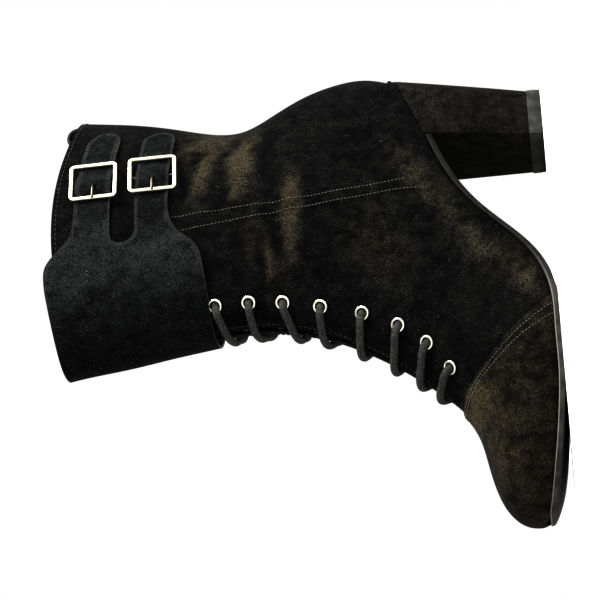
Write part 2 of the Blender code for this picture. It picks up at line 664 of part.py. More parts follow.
def build_buckle(strap, collection):
    """Rectangular frame with a centre bar that dips under the strap."""
    name = strap["name"] + "_buckle"
    cage = bmesh.new()
    loops = []
    for outer in (True, False):
        less = 0.0 if outer else FRAME_BAR
        half_x, half_y = FRAME_ACROSS / 2 - less, FRAME_ALONG / 2 - less
        radius = 2.2 if outer else 0.9
        ring = []
        for turn, (sign_x, sign_y) in enumerate(((1, 1), (-1, 1), (-1, -1), (1, -1))):
            corner = (sign_x * (half_x - radius), sign_y * (half_y - radius))
            ring += arc(corner, radius, 90 * turn, 90 * turn + 90, 4)
        loops.append([cage.verts.new((x * MM, y * MM, 0.0)) for x, y in ring])
    count = len(loops[0])
    for i in range(count):
        after = (i + 1) % count
        cage.faces.new((loops[0][i], loops[0][after], loops[1][after], loops[1][i]))
    mesh = bpy.data.meshes.new(name)
    cage.to_mesh(mesh)
    cage.free()
    frame = collect(bpy.data.objects.new(name, mesh), SILVER, collection)
    solidify(frame, FRAME_THICKNESS, 0)
    rounding = frame.modifiers.new("rounding", "BEVEL")
    rounding.width = 0.45 * MM
    rounding.segments = 1
    frame.location = (0, 0, FRAME_CENTRE_LIFT * MM)
    bar_route = [(-CENTRE_BAR_BEND, 0, FRAME_CENTRE_LIFT), (-CENTRE_BAR_BEND, 0, CENTRE_BAR_LIFT),
                 (CENTRE_BAR_BEND, 0, CENTRE_BAR_LIFT), (CENTRE_BAR_BEND, 0, FRAME_CENTRE_LIFT)]
    bar = tube(name + "_bar", bar_route, CENTRE_BAR_RADIUS, SILVER, collection)
    joined = join_solids(name, (frame, bar), collection)
    joined.matrix_world = buckle_place(strap) @ Matrix.Rotation(math.radians(strap["tilt"]), 4, "Z")
    return joined


def join_solids(name, things, collection):
    """Boolean union of evaluated objects into one closed mesh."""
    bpy.context.view_layer.update()
    solids = []
    for thing in things:
        evaluated = thing.evaluated_get(bpy.context.evaluated_depsgraph_get())
        mesh = bpy.data.meshes.new_from_object(evaluated)
        cage = bmesh.new()
        cage.from_mesh(mesh)
        bmesh.ops.remove_doubles(cage, verts=cage.verts, dist=0.00001)
        cage.to_mesh(mesh)
        cage.free()
        solid = bpy.data.objects.new(name, mesh)
        solid.matrix_world = thing.matrix_world.copy()
        collection.objects.link(solid)
        solids.append(solid)
        bpy.data.objects.remove(thing)
    bpy.context.view_layer.update()
    first = solids[0]
    for other in solids[1:]:
        union = first.modifiers.new("union", "BOOLEAN")
        union.operation = "UNION"
        union.object = other
    bpy.context.view_layer.update()
    evaluated = first.evaluated_get(bpy.context.evaluated_depsgraph_get())
    mesh = bpy.data.meshes.new_from_object(evaluated)
    mesh.transform(first.matrix_world)
    for solid in solids:
        bpy.data.objects.remove(solid)
    joined = bpy.data.objects.new(name, mesh)
    return collect(joined, SILVER, collection)


def build_prong(strap, collection):
    """Prong from the centre bar through the strap's hole to the end bar."""
    local = through([(0, -1.6, 2.3), (0, -1.8, 3.6), (0, -3.0, 5.3), (0, -5.6, 5.9),
                     (0, -8.4, 5.9), (0, -10.4, 5.8)], 9)
    prong = tube(strap["name"] + "_prong", local, PRONG_RADIUS, SILVER, collection)
    prong.matrix_world = buckle_place(strap) @ Matrix.Rotation(math.radians(strap["tilt"]), 4, "Z")
    return prong


def build_chape(strap, collection):
    """Leather pad that holds the buckle's centre bar, sewn flat on the shaft behind it."""
    half_width, thickness = 7.0, 1.0
    points = []
    for height in np.linspace(strap["height"] + half_width, strap["height"] - half_width, 5):
        row = row_at_height(height)
        distances = np.linspace(strap["buckle"] + 14, strap["buckle"] - 4, 9)
        around = np.array([around_from_ridge(row, distance) for distance in distances])
        points.append(lifted(np.full(9, row), around, np.full(9, GAP)))
    chape = grid_object(strap["name"] + "_chape", np.array(points), CUFF_SUEDE, collection)
    return solidify(chape, thickness, 1)


def build_pull_tab(collection):
    """Loop of folded suede inside the back of the collar."""
    half_width, thickness, bow_radius = 7.0, 1.5, 17.0
    wall = -(WALL + GAP + thickness)
    inside_back = [(float(column("back_s", row_at_height(z))) - wall, z) for z in (224.0, 236.0, 246.0)]
    collar_s = inside_back[-1][0]
    route = [(*place, 0.0) for place in inside_back]
    route += [(collar_s - 0.4, 251.5, 0.0), (collar_s + 2.2, 255.2, 0.0), (collar_s + 7.0, 255.4, 0.0),
              (collar_s + 10.2, 251.5, 0.0), (collar_s + 9.0, 246.5, 0.0), (collar_s + 4.9, 239.5, 0.0),
              (inside_back[1][0] + 2.6, 232.0, 0.0)]
    route = through(route, 20)
    points = []
    for s, z, _ in route:
        xs = np.linspace(-half_width, half_width, 7)
        bow = xs ** 2 / (2 * bow_radius)
        points.append(np.stack([xs, ORIGIN_S - s - bow, np.full(7, z)], axis=-1))
    tab = grid_object("pull_tab", np.array(points), SUEDE, collection)
    return solidify(tab, thickness, 0)


def eyelet_places(side):
    """Section row and distance from the ridge of each eyelet, outer or inner side."""
    fine = np.linspace(ROW["collar"], ROW["ball"], 500)
    steps = np.linalg.norm(np.diff(surface(fine, 0.5), axis=0), axis=1)
    travelled = np.concatenate([[0.0], np.cumsum(steps)])
    places = []
    for row, from_ridge in EYELETS:
        if side < 0:
            row = float(np.interp(np.interp(row, fine, travelled) + INNER_STAGGER, travelled, fine))
            row = min(row, LAST_INNER_ROW)
        places.append((row, side * from_ridge))
    return places


def build_eyelets(collection):
    """Rolled metal rings along both facings."""
    for side, label in ((1, "outer"), (-1, "inner")):
        for number, (row, distance) in enumerate(eyelet_places(side), start=1):
            around = around_from_ridge(row, distance)
            lift = GAP + EYELET_WIRE
            centre, normal = lifted(row, around, lift), outward(row, around)
            bpy.ops.mesh.primitive_torus_add(major_radius=EYELET_RING * MM, minor_radius=EYELET_WIRE * MM,
                                             major_segments=12, minor_segments=5)
            ring = bpy.context.active_object
            ring.name = f"{label}_eyelet_{number}"
            ring.data.shade_smooth()
            turn = Vector(normal).to_track_quat("Z", "Y")
            ring.matrix_world = Matrix.LocRotScale(Vector(centre) * MM, turn, None)
            collect(ring, SILVER, collection)


def build_lace_bars(collection):
    """Outside run of the lace from each outer eyelet across the throat to its inner partner."""
    over_ring = GAP + 2 * EYELET_WIRE + 2 * GAP + LACE_RADIUS
    over_wall = GAP + LACE_RADIUS
    outer, inner = eyelet_places(1), eyelet_places(-1)
    for number, (start, end) in enumerate(zip(outer, inner), start=1):
        route = []
        for share in np.linspace(0, 1, 11):
            row = start[0] + (end[0] - start[0]) * share
            distance = start[1] + (end[1] - start[1]) * share
            edge = min(start[1] - abs(distance), 9.0) / 9.0
            lift = over_ring + (over_wall + 1.4 - over_ring) * edge
            around = around_from_ridge(row, distance)
            route.append(lifted(row, around, lift))
        tube(f"lace_bar_{number}", through(route, 12), LACE_RADIUS, LACE_CORD, collection)


def main():
    for thing in list(bpy.data.objects):
        bpy.data.objects.remove(thing)
    collection = bpy.data.collections.new(NAME)
    bpy.context.scene.collection.children.link(collection)
    build_upper(collection)
    build_toe_cap(collection)
    build_tongue(collection)
    build_insole(collection)
    build_outsole(collection)
    build_heel(collection)
    build_top_lift(collection)
    build_cuff(collection)
    for strap in STRAPS:
        build_buckle(strap, collection)
        build_prong(strap, collection)
        build_chape(strap, collection)
    build_pull_tab(collection)
    build_eyelets(collection)
    build_lace_bars(collection)


main()
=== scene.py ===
import math

import bmesh
import bpy
import numpy as np
from mathutils import Matrix, Vector, geometry


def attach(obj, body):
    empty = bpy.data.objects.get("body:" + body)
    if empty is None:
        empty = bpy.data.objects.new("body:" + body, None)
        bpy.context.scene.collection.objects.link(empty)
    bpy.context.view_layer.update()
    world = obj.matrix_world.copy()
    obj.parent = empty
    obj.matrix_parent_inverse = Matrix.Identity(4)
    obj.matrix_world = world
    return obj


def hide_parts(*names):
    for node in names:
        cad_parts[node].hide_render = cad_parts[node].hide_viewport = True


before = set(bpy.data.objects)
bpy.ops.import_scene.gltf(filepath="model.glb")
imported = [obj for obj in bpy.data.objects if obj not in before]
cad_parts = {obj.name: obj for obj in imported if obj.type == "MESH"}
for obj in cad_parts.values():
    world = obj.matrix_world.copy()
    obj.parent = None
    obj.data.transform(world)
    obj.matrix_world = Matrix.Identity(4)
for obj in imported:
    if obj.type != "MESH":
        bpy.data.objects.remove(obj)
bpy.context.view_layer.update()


# Studio. The boot stands on a pale floor in soft light. The camera looks at its outer side from the
# level of the sole, rolled as in the photograph, where the boot lies with its shaft to the left.
MM = 0.001
CAMERA_AT = Vector((834.5, -448.1, 3.4)) * MM
CAMERA_AIM = Vector((8.2, -90.8, 130.2)) * MM
CAMERA_ROLL, CAMERA_TURN = math.radians(5.0), math.radians(22.0)
CAMERA_LENS, NEAREST_SEEN = 106.6, 0.01
PICTURE_GAMMA = 0.6

toe_ward = Vector((-math.sin(CAMERA_TURN), -math.cos(CAMERA_TURN), 0.0))
image_right = toe_ward * math.sin(CAMERA_ROLL) - Vector((0, 0, math.cos(CAMERA_ROLL)))
behind = (CAMERA_AT - CAMERA_AIM).normalized()
image_right = (image_right - behind * image_right.dot(behind)).normalized()
image_up = behind.cross(image_right)
camera = bpy.data.objects.new("camera", bpy.data.cameras.new("camera"))
camera.data.lens = CAMERA_LENS
camera.data.clip_start = NEAREST_SEEN
camera.matrix_world = Matrix.Translation(CAMERA_AT) @ Matrix(
    (image_right, image_up, behind)).transposed().to_4x4()
bpy.context.scene.collection.objects.link(camera)
bpy.context.scene.camera = camera
bpy.context.scene.view_settings.view_transform = "Standard"
bpy.context.scene.view_settings.gamma = PICTURE_GAMMA

# Each lamp's place in metres, width and power
LAMPS = (
    ("key", (0.85, 0.60, 0.75), 0.7, 34.0),
    ("toe_side", (0.60, -1.20, 0.60), 0.9, 4.0),
    ("back_side", (-0.90, 0.50, 0.90), 1.0, 14.0),
)
for label, place, width, power in LAMPS:
    lamp = bpy.data.lights.new(label, "AREA")
    lamp.shape = "DISK"
    lamp.size = width
    lamp.energy = power
    holder = bpy.data.objects.new(label, lamp)
    holder.location = place
    holder.rotation_euler = (CAMERA_AIM - Vector(place)).to_track_quat("-Z", "Y").to_euler()
    bpy.context.scene.collection.objects.link(holder)

world = bpy.data.worlds.new("studio")
world.use_nodes = True
world.node_tree.nodes["Background"].inputs["Color"].default_value = (1.0, 1.0, 1.0, 1.0)
bpy.context.scene.world = world


class Wire:
    """A socket of a material's nodes. Arithmetic on it adds Math nodes."""

    def __init__(self, tree, socket=None):
        self.tree = tree
        self.socket = socket

    def node(self, kind, settings=None, inputs=None, output=0):
        made = self.tree.nodes.new(kind)
        for name, value in (settings or {}).items():
            setattr(made, name, value)
        for name, value in (inputs or {}).items():
            if isinstance(value, Wire):
                self.tree.links.new(value.socket, made.inputs[name])
            else:
                made.inputs[name].default_value = value
        return Wire(self.tree, made.outputs[output])

    def math(self, operation, *values):
        return self.node("ShaderNodeMath", {"operation": operation}, dict(enumerate(values)))

    def __add__(self, other):
        return self.math("ADD", self, other)

    __radd__ = __add__

    def __sub__(self, other):
        return self.math("SUBTRACT", self, other)

    def __rsub__(self, other):
        return self.math("SUBTRACT", other, self)

    def __mul__(self, other):
        return self.math("MULTIPLY", self, other)

    __rmul__ = __mul__

    def step(self, low, high):
        """Smooth share from 0 at low to 1 at high."""
        settings = {"interpolation_type": "SMOOTHSTEP"}
        places = {"Value": self, "From Min": low, "From Max": high}
        return self.node("ShaderNodeMapRange", settings, places)

    def colour(self, low, high):
        """Mix of two colours, or wires, by this share."""
        pair = [value if isinstance(value, Wire) else (*value, 1.0) for value in (low, high)]
        inputs = {0: self, 6: pair[0], 7: pair[1]}
        return self.node("ShaderNodeMix", {"data_type": "RGBA"}, inputs, 2)

    def noise(self, scale, detail=2.0, rough=0.5):
        """Cloudy values from 0 to 1; scale is in patches per metre."""
        where = self.node("ShaderNodeTexCoord", output="Object")
        inputs = {"Vector": where, "Scale": scale, "Detail": detail, "Roughness": rough}
        return self.node("ShaderNodeTexNoise", {"noise_dimensions": "3D"}, inputs)

    def painted(self, name):
        """A value that the mesh carries on its corners."""
        return self.node("ShaderNodeAttribute", {"attribute_name": name}, output="Fac")


def finish(name, colour, roughness, relief=None, height=0.0003, **constants):
    """Material whose colour and roughness are numbers or functions of its nodes; relief is a bump."""
    made = bpy.data.materials.new(name)
    made.use_nodes = True
    shader = made.node_tree.nodes["Principled BSDF"]
    start = Wire(made.node_tree)
    for socket, value in (("Base Color", colour), ("Roughness", roughness)):
        value = value(start) if callable(value) else value
        if isinstance(value, Wire):
            made.node_tree.links.new(value.socket, shader.inputs[socket])
        else:
            shader.inputs[socket].default_value = (*value, 1.0) if socket == "Base Color" else value
    for socket, value in constants.items():
        shader.inputs[socket.replace("_", " ")].default_value = value
    if relief:
        bump = start.node("ShaderNodeBump", None, {"Height": relief(start), "Strength": 1.0,
                                                   "Distance": height})
        made.node_tree.links.new(bump.socket, shader.inputs["Normal"])
    return made


FLOOR_HALF = 1.1
FLOOR_CORNERS = ((-1, -1), (1, -1), (1, 1), (-1, 1))
floor_mesh = bpy.data.meshes.new("floor")
floor_points = [(x * FLOOR_HALF, y * FLOOR_HALF, 0.0) for x, y in FLOOR_CORNERS]
floor_mesh.from_pydata(floor_points, [], [(0, 1, 2, 3)])
floor = bpy.data.objects.new("floor", floor_mesh)
bpy.context.scene.collection.objects.link(floor)
floor_mesh.materials.append(finish("studio_floor", (0.86, 0.86, 0.86), 0.7))


# Upper. One wall of black suede on a last with an 80 mm heel, open at the collar, the throat and
# underneath. A shaft panel laps over the vamp panel along the side seam, sewn with two rows.
WALL = 1.7
GAP = 0.3
# The frame's origin lies this far toward the toe from the back of the sole; s runs on toward the toe
ORIGIN_S = 13.5
# A row for each section of the last, from above the collar, down the shaft and round to the toe: the
# ends of the section at the ridge and at the back seam or feather line, and its shape between them
SECTION_COLUMNS = ("front_s", "front_z", "back_s", "back_z", "swell_out", "swell_in",
                   "ridge_x", "widest", "low_shape", "top_shape", "crown")
SECTIONS = (
    ("above",       132.6, 264.0, -15.6, 261.0, 6.8, 6.8,  0.0, 0.50, 1.00, 0.98, 8.6),
    ("collar",      129.8, 250.0, -13.4, 247.0, 6.5, 6.5,  0.0, 0.50, 1.00, 0.98, 7.4),
    ("cuff",        126.0, 223.0, -10.0, 223.0, 6.5, 6.5,  0.0, 0.50, 1.00, 0.98, 4.5),
    ("shaft",       121.8, 197.0,  -4.4, 197.0, 5.5, 5.5,  0.0, 0.50, 1.00, 0.98, 2.0),
    ("shaft_low",   118.2, 173.0,   1.6, 173.0, 4.8, 4.8,  0.0, 0.50, 1.00, 0.98, 0.5),
    ("waist",       116.8, 153.0,   1.2, 156.0, 4.8, 4.8,  0.0, 0.48, 1.00, 0.98, 0.0),
    ("ankle",       118.4, 137.0,  -6.6, 141.0, 5.4, 5.4,  0.0, 0.45, 1.00, 0.98, 0.0),
    ("ankle_low",   121.4, 124.8, -15.2, 124.0, 5.8, 5.8, -0.5, 0.42, 0.98, 1.00, 0.0),
    ("counter",     124.6, 115.6, -20.6, 104.5, 5.4, 5.4, -0.8, 0.40, 0.94, 1.02, 0.0),
    ("counter_low", 127.0, 110.2, -20.6,  89.5, 4.6, 4.6, -1.0, 0.38, 0.88, 1.04, 0.0),
    ("heel_back",   128.8, 106.4, -16.5,  78.5, 4.0, 4.0, -1.2, 0.36, 0.80, 1.05, 0.0),
    ("heel_round",  129.8, 104.2, -14.6,  77.6, 4.0, 4.0, -1.2, 0.35, 0.82, 1.05, 0.0),
    ("heel_seat",   131.8, 100.4,  -8.0,  74.8, 4.0, 4.0, -1.4, 0.33, 0.88, 1.06, 0.0),
    ("heel_mid",    134.8,  94.8,   6.0,  68.8, 4.0, 4.0, -1.6, 0.31, 0.92, 1.08, 0.0),
    ("breast",      138.8,  87.6,  25.0,  61.0, 3.8, 3.8, -2.0, 0.29, 0.92, 1.10, 0.0),
    ("shank",       144.6,  78.4,  48.0,  51.6, 3.4, 4.6, -2.6, 0.28, 0.92, 1.12, 0.0),
    ("arch",        150.6,  70.0,  72.0,  36.0, 3.0, 5.4, -3.2, 0.27, 0.92, 1.14, 0.0),
    ("instep",      157.0,  61.8,  97.0,  14.4, 2.6, 4.6, -3.8, 0.27, 0.92, 1.16, 0.0),
    ("ball_back",   164.6,  53.4, 122.0,   4.0, 2.2, 3.0, -4.4, 0.27, 0.92, 1.18, 0.0),
    ("ball",        173.2,  46.6, 145.0,   3.2, 2.2, 2.4, -5.0, 0.27, 0.92, 1.18, 0.0),
    ("vamp",        183.2,  42.0, 165.0,   3.2, 2.2, 2.4, -5.4, 0.28, 0.92, 1.14, 0.0),
    ("toe_back",    195.0,  39.2, 183.0,   4.8, 2.2, 2.4, -5.8, 0.30, 0.92, 1.08, 0.0),
    ("toe_box",     205.4,  36.8, 197.5,   7.0, 2.2, 2.3, -6.2, 0.32, 0.92, 1.04, 0.0),
    ("toe_front",   214.4,  33.6, 209.5,   9.4, 2.1, 2.1, -6.6, 0.35, 0.94, 1.00, 0.0),
    ("toe_round",   220.6,  29.6, 217.0,  11.2, 1.8, 1.8, -7.0, 0.38, 0.96, 1.00, 0.0),
    ("toe_tip",     224.6,  24.6, 221.6,  12.4, 1.4, 1.4, -7.3, 0.42, 0.98, 1.00, 0.0),
    ("toe_end",     226.0,  18.4, 224.0,  13.2, 0.8, 0.8, -7.6, 0.46, 1.00, 1.00, 0.0),
)
ROW = {section[0]: float(number) for number, section in enumerate(SECTIONS)}
# The feather line, where the upper meets the sole: s, centre, half width and the sole's welt there
PLAN = (
    (-16.5, 0.0, 26.5, 2.6), (14.0, 0.0, 26.5, 2.6), (30.0, 0.3, 26.8, 2.6), (50.0, 1.2, 26.4, 2.6),
    (72.0, 2.4, 27.2, 2.6), (92.0, 2.8, 30.6, 2.8), (110.0, 2.2, 35.0, 3.0), (130.0, 0.8, 38.8, 3.4),
    (148.0, -1.0, 40.2, 3.8), (165.0, -2.6, 39.6, 4.1), (183.0, -4.2, 37.6, 4.2),
    (197.0, -5.4, 35.4, 4.2), (210.0, -6.4, 33.0, 4.2), (225.5, -7.6, 28.0, 4.2),
)
HEEL_ROUND_FROM, HEEL_REAR, HEEL_POWER = 14.0, -16.5, 2.3
TOE_ROUND_FROM, TOE_TIP, TOE_POWER = 168.0, 225.2, 2.2
THROAT_END_ROW = 17.75
THROAT_TOP_HALF, THROAT_END_HALF = 4.5, 1.6
LAST_ROW = 25.9


def spline(xs, ys, at):
    """Natural cubic spline through the rows of a table."""
    xs, ys = np.asarray(xs, float), np.asarray(ys, float)
    count, step = len(xs), np.diff(xs)
    system, right = np.zeros((count, count)), np.zeros(count)
    system[0, 0] = system[-1, -1] = 1.0
    for i in range(1, count - 1):
        system[i, i - 1:i + 2] = step[i - 1], 2 * (step[i - 1] + step[i]), step[i]
        right[i] = 6 * ((ys[i + 1] - ys[i]) / step[i] - (ys[i] - ys[i - 1]) / step[i - 1])
    bend = np.linalg.solve(system, right)
    at = np.clip(at, xs[0], xs[-1])
    i = np.clip(np.searchsorted(xs, at, side="right") - 1, 0, count - 2)
    after, before = xs[i + 1] - at, at - xs[i]
    cubic = (bend[i] * after ** 3 + bend[i + 1] * before ** 3) / (6 * step[i])
    return (cubic + (ys[i] / step[i] - bend[i] * step[i] / 6) * after
            + (ys[i + 1] / step[i] - bend[i + 1] * step[i] / 6) * before)


def column(name, row):
    """A column of the section table at any row."""
    place = SECTION_COLUMNS.index(name) + 1
    return spline(range(len(SECTIONS)), [section[place] for section in SECTIONS], row)


def plan(s, rounded=True):
    """Centre and half width of the feather line; without the heel's round end if not rounded."""
    s = np.asarray(s, float)
    rows = np.array(PLAN)
    centre = spline(rows[:, 0], rows[:, 1], s)
    half = spline(rows[:, 0], rows[:, 2], s)
    toe = np.clip((s - TOE_ROUND_FROM) / (TOE_TIP - TOE_ROUND_FROM), 0, 1)
    half = half * (1 - toe ** TOE_POWER) ** 0.5
    if rounded:
        heel = np.clip((HEEL_ROUND_FROM - s) / (HEEL_ROUND_FROM - HEEL_REAR), 0, 1)
        half = half * (1 - heel ** HEEL_POWER) ** (1 / HEEL_POWER)
    return centre, half


def last_face(row, around):
    """Smooth outer face in millimetres; around is 0 and 1 at the back or feather and 0.5 at the ridge."""
    row, around = np.broadcast_arrays(np.asarray(row, float), np.asarray(around, float))
    section = {name: column(name, row) for name in SECTION_COLUMNS}
    side = np.where(around < 0.5, 1.0, -1.0)
    way = np.clip(np.where(around < 0.5, around, 1.0 - around), 0.0, 0.5)
    centre, wide = plan(section["back_s"], rounded=False)
    edge = plan(section["back_s"])[1]
    swell = np.where(side > 0, section["swell_out"], section["swell_in"])
    half = side * centre + wide + swell
    edge = np.where(row < ROW["heel_back"], 0.0, side * centre * (edge > 0) + edge)
    split = 0.1 + 0.3 * section["widest"]
    low = np.clip(way / split, 0, 1) * math.pi / 2
    top = np.clip((way - split) / (0.5 - split), 0, 1) * math.pi / 2
    ridge = section["ridge_x"] * side
    cos_low, cos_top = np.clip(np.cos(low), 0, 1), np.clip(np.cos(top), 0, 1)
    low_x = edge + (half - edge) * np.sin(low) ** section["low_shape"]
    top_x = ridge + (half - ridge) * cos_top ** section["top_shape"]
    low_t = section["widest"] * (1 - cos_low ** section["low_shape"])
    top_t = section["widest"] + (1 - section["widest"]) * np.sin(top) ** section["top_shape"]
    t = np.where(way <= split, low_t, top_t)
    x = np.where(way <= split, low_x, top_x)
    s = section["back_s"] + (section["front_s"] - section["back_s"]) * t
    z = section["back_z"] + (section["front_z"] - section["back_z"]) * t
    z = z + section["crown"] * np.sin(math.pi * t) ** 1.5
    return np.stack([side * x, ORIGIN_S - s, z], axis=-1)


def outward(row, around):
    """Unit normal of the outer face."""
    row, around, step = np.asarray(row, float), np.asarray(around, float), 0.004
    down = last_face(row + step, around) - last_face(row - step, around)
    across = last_face(row, around + step) - last_face(row, around - step)
    normal = np.cross(across, down)
    return normal / np.linalg.norm(normal, axis=-1, keepdims=True)


def run_length(path):
    """Running length at each point of a path."""
    return np.concatenate([[0.0], np.cumsum(np.linalg.norm(np.diff(path, axis=0), axis=1))])


# Chart of the last: distance from the ridge, signed, at each row and place around
CHART_ROWS = np.linspace(0.0, ROW["toe_end"], 521)
CHART_AROUND = np.linspace(0.0, 1.0, 401)
chart_points = last_face(CHART_ROWS[:, None], CHART_AROUND[None, :])
chart = np.array([run_length(section) for section in chart_points])
chart = chart[:, len(CHART_AROUND) // 2][:, None] - chart


def around_at(row, distance):
    """Place around a section at a signed distance from the ridge."""
    row, distance = np.broadcast_arrays(np.asarray(row, float), np.asarray(distance, float))
    flat = []
    for r, d in zip(row.ravel(), distance.ravel()):
        r = min(max(r / CHART_ROWS[-1] * (len(CHART_ROWS) - 1), 0), len(CHART_ROWS) - 1.001)
        i = int(r)
        line = (1 - (r - i)) * chart[i] + (r - i) * chart[i + 1]
        flat.append(np.interp(-d, -line, CHART_AROUND))
    return np.array(flat).reshape(row.shape)


# Side seam, by distance toward the toe and height: the lapped edge and the row of stitches above it
SEAM_EDGE = ((73.0, 204.0), (71.0, 188.0), (69.0, 172.0), (67.0, 155.0), (65.0, 134.0), (62.0, 109.0),
             (59.4, 86.0), (58.8, 73.0), (59.6, 60.0))
SEAM_ABOVE = ((63.0, 204.0), (62.0, 190.0), (60.6, 173.0), (59.6, 155.0), (58.6, 138.0), (57.0, 119.0),
              (54.2, 95.0), (52.0, 70.0))
LAP_STEP = 0.6
LOW_WAVE, WAVE_LENGTHS = 0.16, (9.0, 13.0, 11.0, 17.0)
CREASE_END, INNER_SIDE_SHARE, CREASE_RIDGE = 18.0, 0.7, 0.4
# Creases of the worn leather: both ends by distance toward the toe and height, then depth and width
CREASES = (
    (8.0, 164.0, 70.0, 167.0, 1.5, 4.5),
    (34.0, 184.0, 78.0, 186.0, 0.9, 4.0),
    (40.0, 192.0, 10.0, 166.0, 1.0, 3.2),
    (10.0, 140.0, 100.0, 141.0, 1.5, 4.5),
    (76.0, 149.0, 112.0, 148.0, 1.3, 2.8),
    (40.0, 119.0, 104.0, 116.0, 0.9, 6.0),
    (128.0, 26.0, 158.0, 62.0, 0.7, 4.0),
    (140.0, 18.0, 168.0, 50.0, 0.8, 3.5),
)


def seam_line(table):
    """Many distances toward the toe and heights along a seam given by a few."""
    table = np.array(table)
    at = np.linspace(0, len(table) - 1, 90)
    return [spline(range(len(table)), table[:, place], at) for place in (0, 1)]


def on_side(s, z, side):
    """Section rows and places around of points of the outer or inner side, seen from that side."""
    half = len(CHART_AROUND) // 2
    across = slice(10, half) if side > 0 else slice(half + 1, -10)
    seen = chart_points[:, across]
    places = []
    for one_s, one_z in zip(s, z):
        miss = np.hypot(ORIGIN_S - seen[..., 1] - one_s, seen[..., 2] - one_z)
        row, place = np.unravel_index(miss.argmin(), miss.shape)
        places.append((CHART_ROWS[row], CHART_AROUND[across][place]))
    row, around = np.array(places).T
    nudge, row_limit, around_limit = 0.002, 0.05, 0.004
    for _ in range(6):
        here = last_face(row, around)
        down = (last_face(row + nudge, around) - here) / nudge
        along = (last_face(row, around + nudge) - here) / nudge
        miss_s, miss_z = ORIGIN_S - s - here[:, 1], z - here[:, 2]
        area = down[:, 1] * along[:, 2] - down[:, 2] * along[:, 1]
        row = row + np.clip((miss_s * along[:, 2] - miss_z * along[:, 1]) / area,
                            -row_limit, row_limit)
        around = around + np.clip((miss_z * down[:, 1] - miss_s * down[:, 2]) / area,
                                  -around_limit, around_limit)
    return row, around


def smooth(value):
    """Smooth share of a value that is clipped to 0 to 1."""
    value = np.clip(value, 0, 1)
    return value * value * (3 - 2 * value)


def folds(points):
    """Height of the creases: a soft trough with a low ridge on either side."""
    s, z = ORIGIN_S - points[..., 1], points[..., 2]
    side = np.where(points[..., 0] > 0, 1.0, INNER_SIDE_SHARE)
    lift = np.zeros(s.shape)
    for s0, z0, s1, z1, depth, width in CREASES:
        length = math.hypot(s1 - s0, z1 - z0)
        ahead = ((s - s0) * (s1 - s0) + (z - z0) * (z1 - z0)) / length
        aside = (-(s - s0) * (z1 - z0) + (z - z0) * (s1 - s0)) / length
        aside = aside + 2.4 * np.sin(ahead / 15.0 + s0) + 1.1 * np.sin(ahead / 6.1 + z0)
        ends = smooth(ahead / CREASE_END) * smooth((length - ahead) / CREASE_END)
        ridges = np.exp(-((abs(aside) - 2.1 * width) / width) ** 2)
        trough = np.exp(-(aside / width) ** 2) - CREASE_RIDGE * ridges
        lift -= side * depth * ends * trough
    return lift


def wear(row, around, points):
    """How far the worn leather stands off the last: creases, low waves and the lapped seam."""
    s, z = ORIGIN_S - points[..., 1], points[..., 2]
    lift = folds(points)
    across, down, ahead, along = WAVE_LENGTHS
    lift += LOW_WAVE * np.sin(points[..., 0] / across + z / down) * np.sin(s / ahead + z / along)
    seam_s, seam_z = seam_line(SEAM_EDGE)
    past = np.interp(-z, -seam_z, seam_s) - s
    ends = smooth((seam_z[0] - z) / 8.0) * smooth((z - seam_z[-1] + 2.0) / 8.0)
    ends = ends * (abs(points[..., 0]) > 9.0)
    lift += LAP_STEP * ends * smooth(past / 0.9 + 0.5) * smooth(1.6 - past / 14.0)
    lift -= 0.25 * ends * np.exp(-((past + 0.6) / 0.8) ** 2)
    # Near the feather line the leather is pulled tight over the last
    near_feather = smooth((0.1 - np.minimum(around, 1 - around)) / 0.1)
    return lift * (1 - smooth(row - ROW["heel_back"] + 1.2) * near_feather)


def lifted(row, around, lift):
    """Point at a height above the worn outer face; a negative lift is inside the wall."""
    points = last_face(row, around)
    row, around = np.broadcast_arrays(np.asarray(row, float), np.asarray(around, float))
    lift = np.asarray(lift, float) + wear(row, around, points)
    return points + lift[..., None] * outward(row, around)


def even_rows(first, last, count):
    """Rows at even distances along the boot."""
    fine = np.linspace(first, last, 400)
    travelled = np.zeros(400)
    for around in (0.0, 0.25, 0.5):
        travelled += run_length(last_face(fine, around))
    return np.interp(np.linspace(0, travelled[-1], count), travelled, fine)


def row_at_height(height):
    """Section row of the shaft at a height on the back seam."""
    fine = np.linspace(0.0, ROW["ankle_low"], 400)
    return np.interp(-np.asarray(height, float), -column("back_z", fine), fine)


def feather_height(s):
    """Height of the feather line at a distance toward the toe."""
    fine = np.linspace(ROW["heel_back"], ROW["toe_end"], 600)
    return np.interp(s, column("back_s", fine), column("back_z", fine))


def throat_half(row):
    """Half width of the throat, narrowing below the ankle toward its end."""
    share = np.clip((row - ROW["ankle_low"]) / (THROAT_END_ROW - ROW["ankle_low"]), 0, 1)
    return THROAT_TOP_HALF + (THROAT_END_HALF - THROAT_TOP_HALF) * share ** 2


HEEL_SETTLES_ROWS = 4.5


